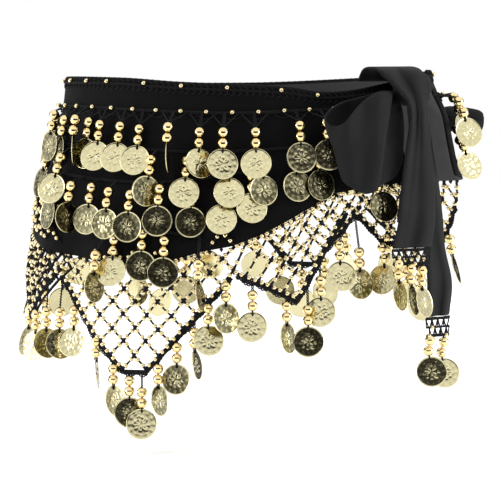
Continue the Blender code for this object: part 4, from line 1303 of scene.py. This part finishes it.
def knot_of_crepe():
    """The knot: a wad of crepe with the grooves of its turns."""
    turn = radians(KNOT_TURN)
    points = []
    for j in range(KNOT_RINGS):
        angle = pi * (0.02 + 0.96 * j / (KNOT_RINGS - 1))
        for i in range(KNOT_AROUND):
            around = 2 * pi * i / KNOT_AROUND
            x, y, z = sin(angle) * cos(around), sin(angle) * sin(around), cos(angle)
            groove = 1 - 0.10 * (1 + cos(5 * z + 2.2 * x)) / 2
            groove += 0.035 * sin(11 * z + 4 * x + 3 * y) - 0.02 * sin(19 * z - 5 * x)
            x, y, z = (value * r * groove for value, r in zip((x, y, z), KNOT_RADII))
            points.append((x * cos(turn) - y * sin(turn) + KNOT_MIDDLE[0],
                           x * sin(turn) + y * cos(turn) + KNOT_MIDDLE[1], z + KNOT_MIDDLE[2]))
    made = mesh_object("knot_of_crepe", points, ring_faces(KNOT_RINGS, KNOT_AROUND), (CREPE,))
    return seated(made, "knot")


ROLL_TURNS = 1.9


def rolled_crepe():
    """The rolled end beside the knot, whose layers show at its open end."""
    start = hip_point(*ROLL_SEAT, VELVET_FACE + ROLL_ROOM)
    tip = Vector(ROLL_TIP)
    axis = (tip - start).normalized()
    side = axis.cross(Vector((0, 0, 1))).normalized()
    upward = side.cross(axis).normalized()

    def place(u, v):
        share = 1 - v
        radius = ROLL_RADII[0] + (ROLL_RADII[1] - ROLL_RADII[0]) * share
        radius *= curve_at(ROLL_SWELL, share)
        angle = u * 2 * pi * ROLL_TURNS + 0.8
        reach = radius * (0.42 + 0.55 * u) * (1 + 0.05 * sin(3 * angle + share * 4))
        pinch = 1 + 0.05 * sin(share * 9 + angle)
        slip = axis * (0.0012 * sin(angle * 1.3) * fade(share, 0.8, 1.0))
        return (start.lerp(tip, share) + side * reach * ROLL_FLAT * cos(angle) * pinch
                + upward * reach * sin(angle) + slip)

    return sheet("rolled_crepe", "rolled_end", (64, 14), place, CREPE_THICK * 0.8,
                 (CREPE,))


# The lace's three plaited bands, as shares of its height, and how much it narrows to its end.
LACE_BANDS = (0.06, 0.52, 0.97)
LACE_TAPER = 0.06


def lace(name, node, rows, tall, table, loops, hem_rows=()):
    """The lace at a tail's end: plaited bands, two rows of loops and seed beads."""
    drops = lace_drops(rows, tall, table)
    bundle = Bundle()
    z_end, left, right, out = (value * MM for value in rows[-1])
    top = z_end - 2 * SEAM

    def at(share, depth, lift=0.0):
        x = left + (right - left) * share
        x -= (x - (left + right) / 2) * LACE_TAPER * depth
        crease = 0.5 * tail_crease(share) * (1 - depth)
        return front_point(x, top - tall * depth, out + crease + lift)

    for depth, radius in zip(LACE_BANDS, (0.0007, 0.0005, 0.0007)):
        line = [at(i / 16, depth) for i in range(17)]
        plait(bundle, line, 3, radius, radius * 1.3, radius * 0.7, 0.0046)
    for row, (high, low) in enumerate(zip(LACE_BANDS, LACE_BANDS[1:])):
        for i in range(loops):
            a = (i + 0.5 * row) / loops
            b = min(1.0, a + 1 / loops)
            arc = [at(a + (b - a) * k / 8, high + (low - high) * sin(pi * k / 8))
                   for k in range(9)]
            strand(bundle, arc, TIE)
            strand(bundle, [at(a, high), at(a, (high + low) / 2, 0.0004), at(a, low)], LACE_BAR)
            if (i + row) % 3 == 1:
                put_bead(bundle, SEED_BEAD, at(a, low, 0.0016), Vector((1, 0, 0)), LACE_BEAD,
                         IN_SEED)
    if hem_rows:
        hem = [front_point((x + 0.4) * MM, z * MM, (reach + 2.4) * MM)
               for z, x, _, reach in hem_rows]
        plait(bundle, hem, *HEM_PLAIT, IN_CREPE)
    for drop in drops:
        put_drop(bundle, drop)
    return bundle.piece(name, node)


# Making the scarf, in the order in which its drops are hung.
velvet_cloth = velvet()
small_work = [
    top_edging(),
    chain("chain_4", CHAIN_4, ROW_4_FRONT),
    chain("chain_3", CHAIN_3, ROW_3_FRONT),
    chain("chain_2", CHAIN_2, ROW_2_FRONT, ROW_2_END, ROW_2_BACK_COUNT, 0.5),
    chain("chain_1", CHAIN_1, ROW_1_FRONT, ROW_1_END, ROW_1_BACK_COUNT, 0.2, beaded=True),
]
NET_TABLES = {"net_side": NET_SIDE_FRONT, "net_front_long": NET_LONG_FRONT,
              "net_front_mid": NET_MID_FRONT, "net_front_knot": NET_KNOT_FRONT}
for name, left, count, rows in NET_POINTS:
    small_work.append(net(name, left * MM, count, rows))
for name, left, count, rows in NET_POINTS[::-1]:
    small_work.append(braid(name.replace("net", "braid"), left * MM, count, rows,
                            NET_TABLES.get(name, ())))
loop_cloth = loop_of_crepe()
knot_cloth = knot_of_crepe()
front_tail = tail_sheet("front_tail", TAIL_1, "tail_front", (20, 56), front_tail_folds)
back_tail = tail_sheet("back_tail", TAIL_2, "tail_behind", (14, 44), back_tail_folds)
front_lace = lace("front_lace", "lace_front", TAIL_1, TAIL_1_LACE, TAIL_1_DROPS, 6, TAIL_1[3:10])
back_lace = lace("back_lace", "lace_behind", TAIL_2, TAIL_2_LACE, TAIL_2_DROPS, 4)
roll_cloth = rolled_crepe()

# Floor, light and camera.
WHITE = (1.0, 1.0, 1.0, 1.0)
FLOOR = -0.295
MIDDLE = Vector((0.0, -0.05, -0.12))
CAMERA_TARGET = Vector((0.008, -0.10, -0.1328))
CAMERA_AWAY = 4.0
CAMERA_TILT = radians(2.5)


def studio():
    """A plain pale floor under the scarf."""
    made, tree, sockets = new_finish("pale_floor", Roughness=0.9, Emission_Strength=0.22,
                                     Emission_Color=WHITE)
    shade = put(tree, "ShaderNodeTexNoise", {"Scale": 3.0, "Detail": 1.0})
    feed(sockets["Base Color"], mix_colour(tree, shade.outputs[0], (0.86, 0.86, 0.86, 1.0),
                                           (0.90, 0.90, 0.90, 1.0)))
    corners = [(-6.0, -0.9, FLOOR), (6.0, -0.9, FLOOR), (6.0, 6.0, FLOOR), (-6.0, 6.0, FLOOR)]
    mesh_object("floor", corners, [(0, 1, 2, 3)], (made,))


def aimed(name, data, place, way):
    """A lamp or camera that looks from its place along a way."""
    made = bpy.data.objects.new(name, data)
    made.location = place
    made.rotation_mode = "QUATERNION"
    made.rotation_quaternion = way.to_track_quat("-Z", "Y")
    bpy.context.scene.collection.objects.link(made)
    return made


def soft_light(name, place, size, power, mirrored=True):
    data = bpy.data.lights.new(name, "AREA")
    data.shape = "RECTANGLE"
    data.size, data.size_y = size
    data.energy = power
    aimed(name, data, place, MIDDLE - Vector(place)).visible_glossy = mirrored


def world_light():
    """Bright overhead and at both sides, dark before and behind, and white where it is seen."""
    world = bpy.data.worlds.new("studio")
    world.use_nodes = True
    tree = world.node_tree

    def step_up(value, start, full):
        return put(tree, "ShaderNodeMapRange", {"Value": value, "From Min": start,
                                                "From Max": full},
                   interpolation_type="SMOOTHSTEP").outputs[0]

    place = put(tree, "ShaderNodeTexCoord").outputs["Generated"]
    parts = put(tree, "ShaderNodeSeparateXYZ", {0: place}).outputs
    over = step_up(parts["Z"], 0.29, 0.40)
    beside = step_up(math_of(tree, "ABSOLUTE", parts["X"]), 0.66, 0.80)
    both = math_of(tree, "MAXIMUM", over, math_of(tree, "MULTIPLY", beside, 0.8))
    lit = put(tree, "ShaderNodeMapRange", {"Value": both, "To Min": 0.02, "To Max": 1.18})
    eye = put(tree, "ShaderNodeLightPath").outputs["Is Camera Ray"]
    shown = put(tree, "ShaderNodeMix", {0: eye, 2: lit.outputs[0], 3: 1.0}, data_type="FLOAT")
    shade = tree.nodes["Background"].inputs
    feed(shade["Color"], WHITE)
    feed(shade["Strength"], shown.outputs[0])
    bpy.context.scene.world = world
    bpy.context.scene.view_settings.view_transform = "Standard"


def camera():
    """The photograph's view: level with the hips, a long lens, the scarf right of its middle."""
    data = bpy.data.cameras.new("camera")
    data.sensor_width = 36.0
    data.lens = 360.0
    data.clip_start = 0.1
    data.clip_end = 60.0
    data.dof.use_dof = False
    back = Vector((0.0, -cos(CAMERA_TILT), sin(CAMERA_TILT)))
    made = aimed("camera", data, CAMERA_TARGET + back * CAMERA_AWAY, -back)
    bpy.context.scene.camera = made


studio()
world_light()
soft_light("key", (-1.5, -1.8, 1.6), (1.2, 1.0), 30, mirrored=False)
soft_light("left", (-2.2, -0.3, 0.1), (0.8, 1.0), 16)
soft_light("right", (2.2, -0.3, 0.1), (0.8, 1.0), 16)
soft_light("rear", (0.4, 2.0, 1.2), (1.6, 1.0), 24, mirrored=False)
camera()
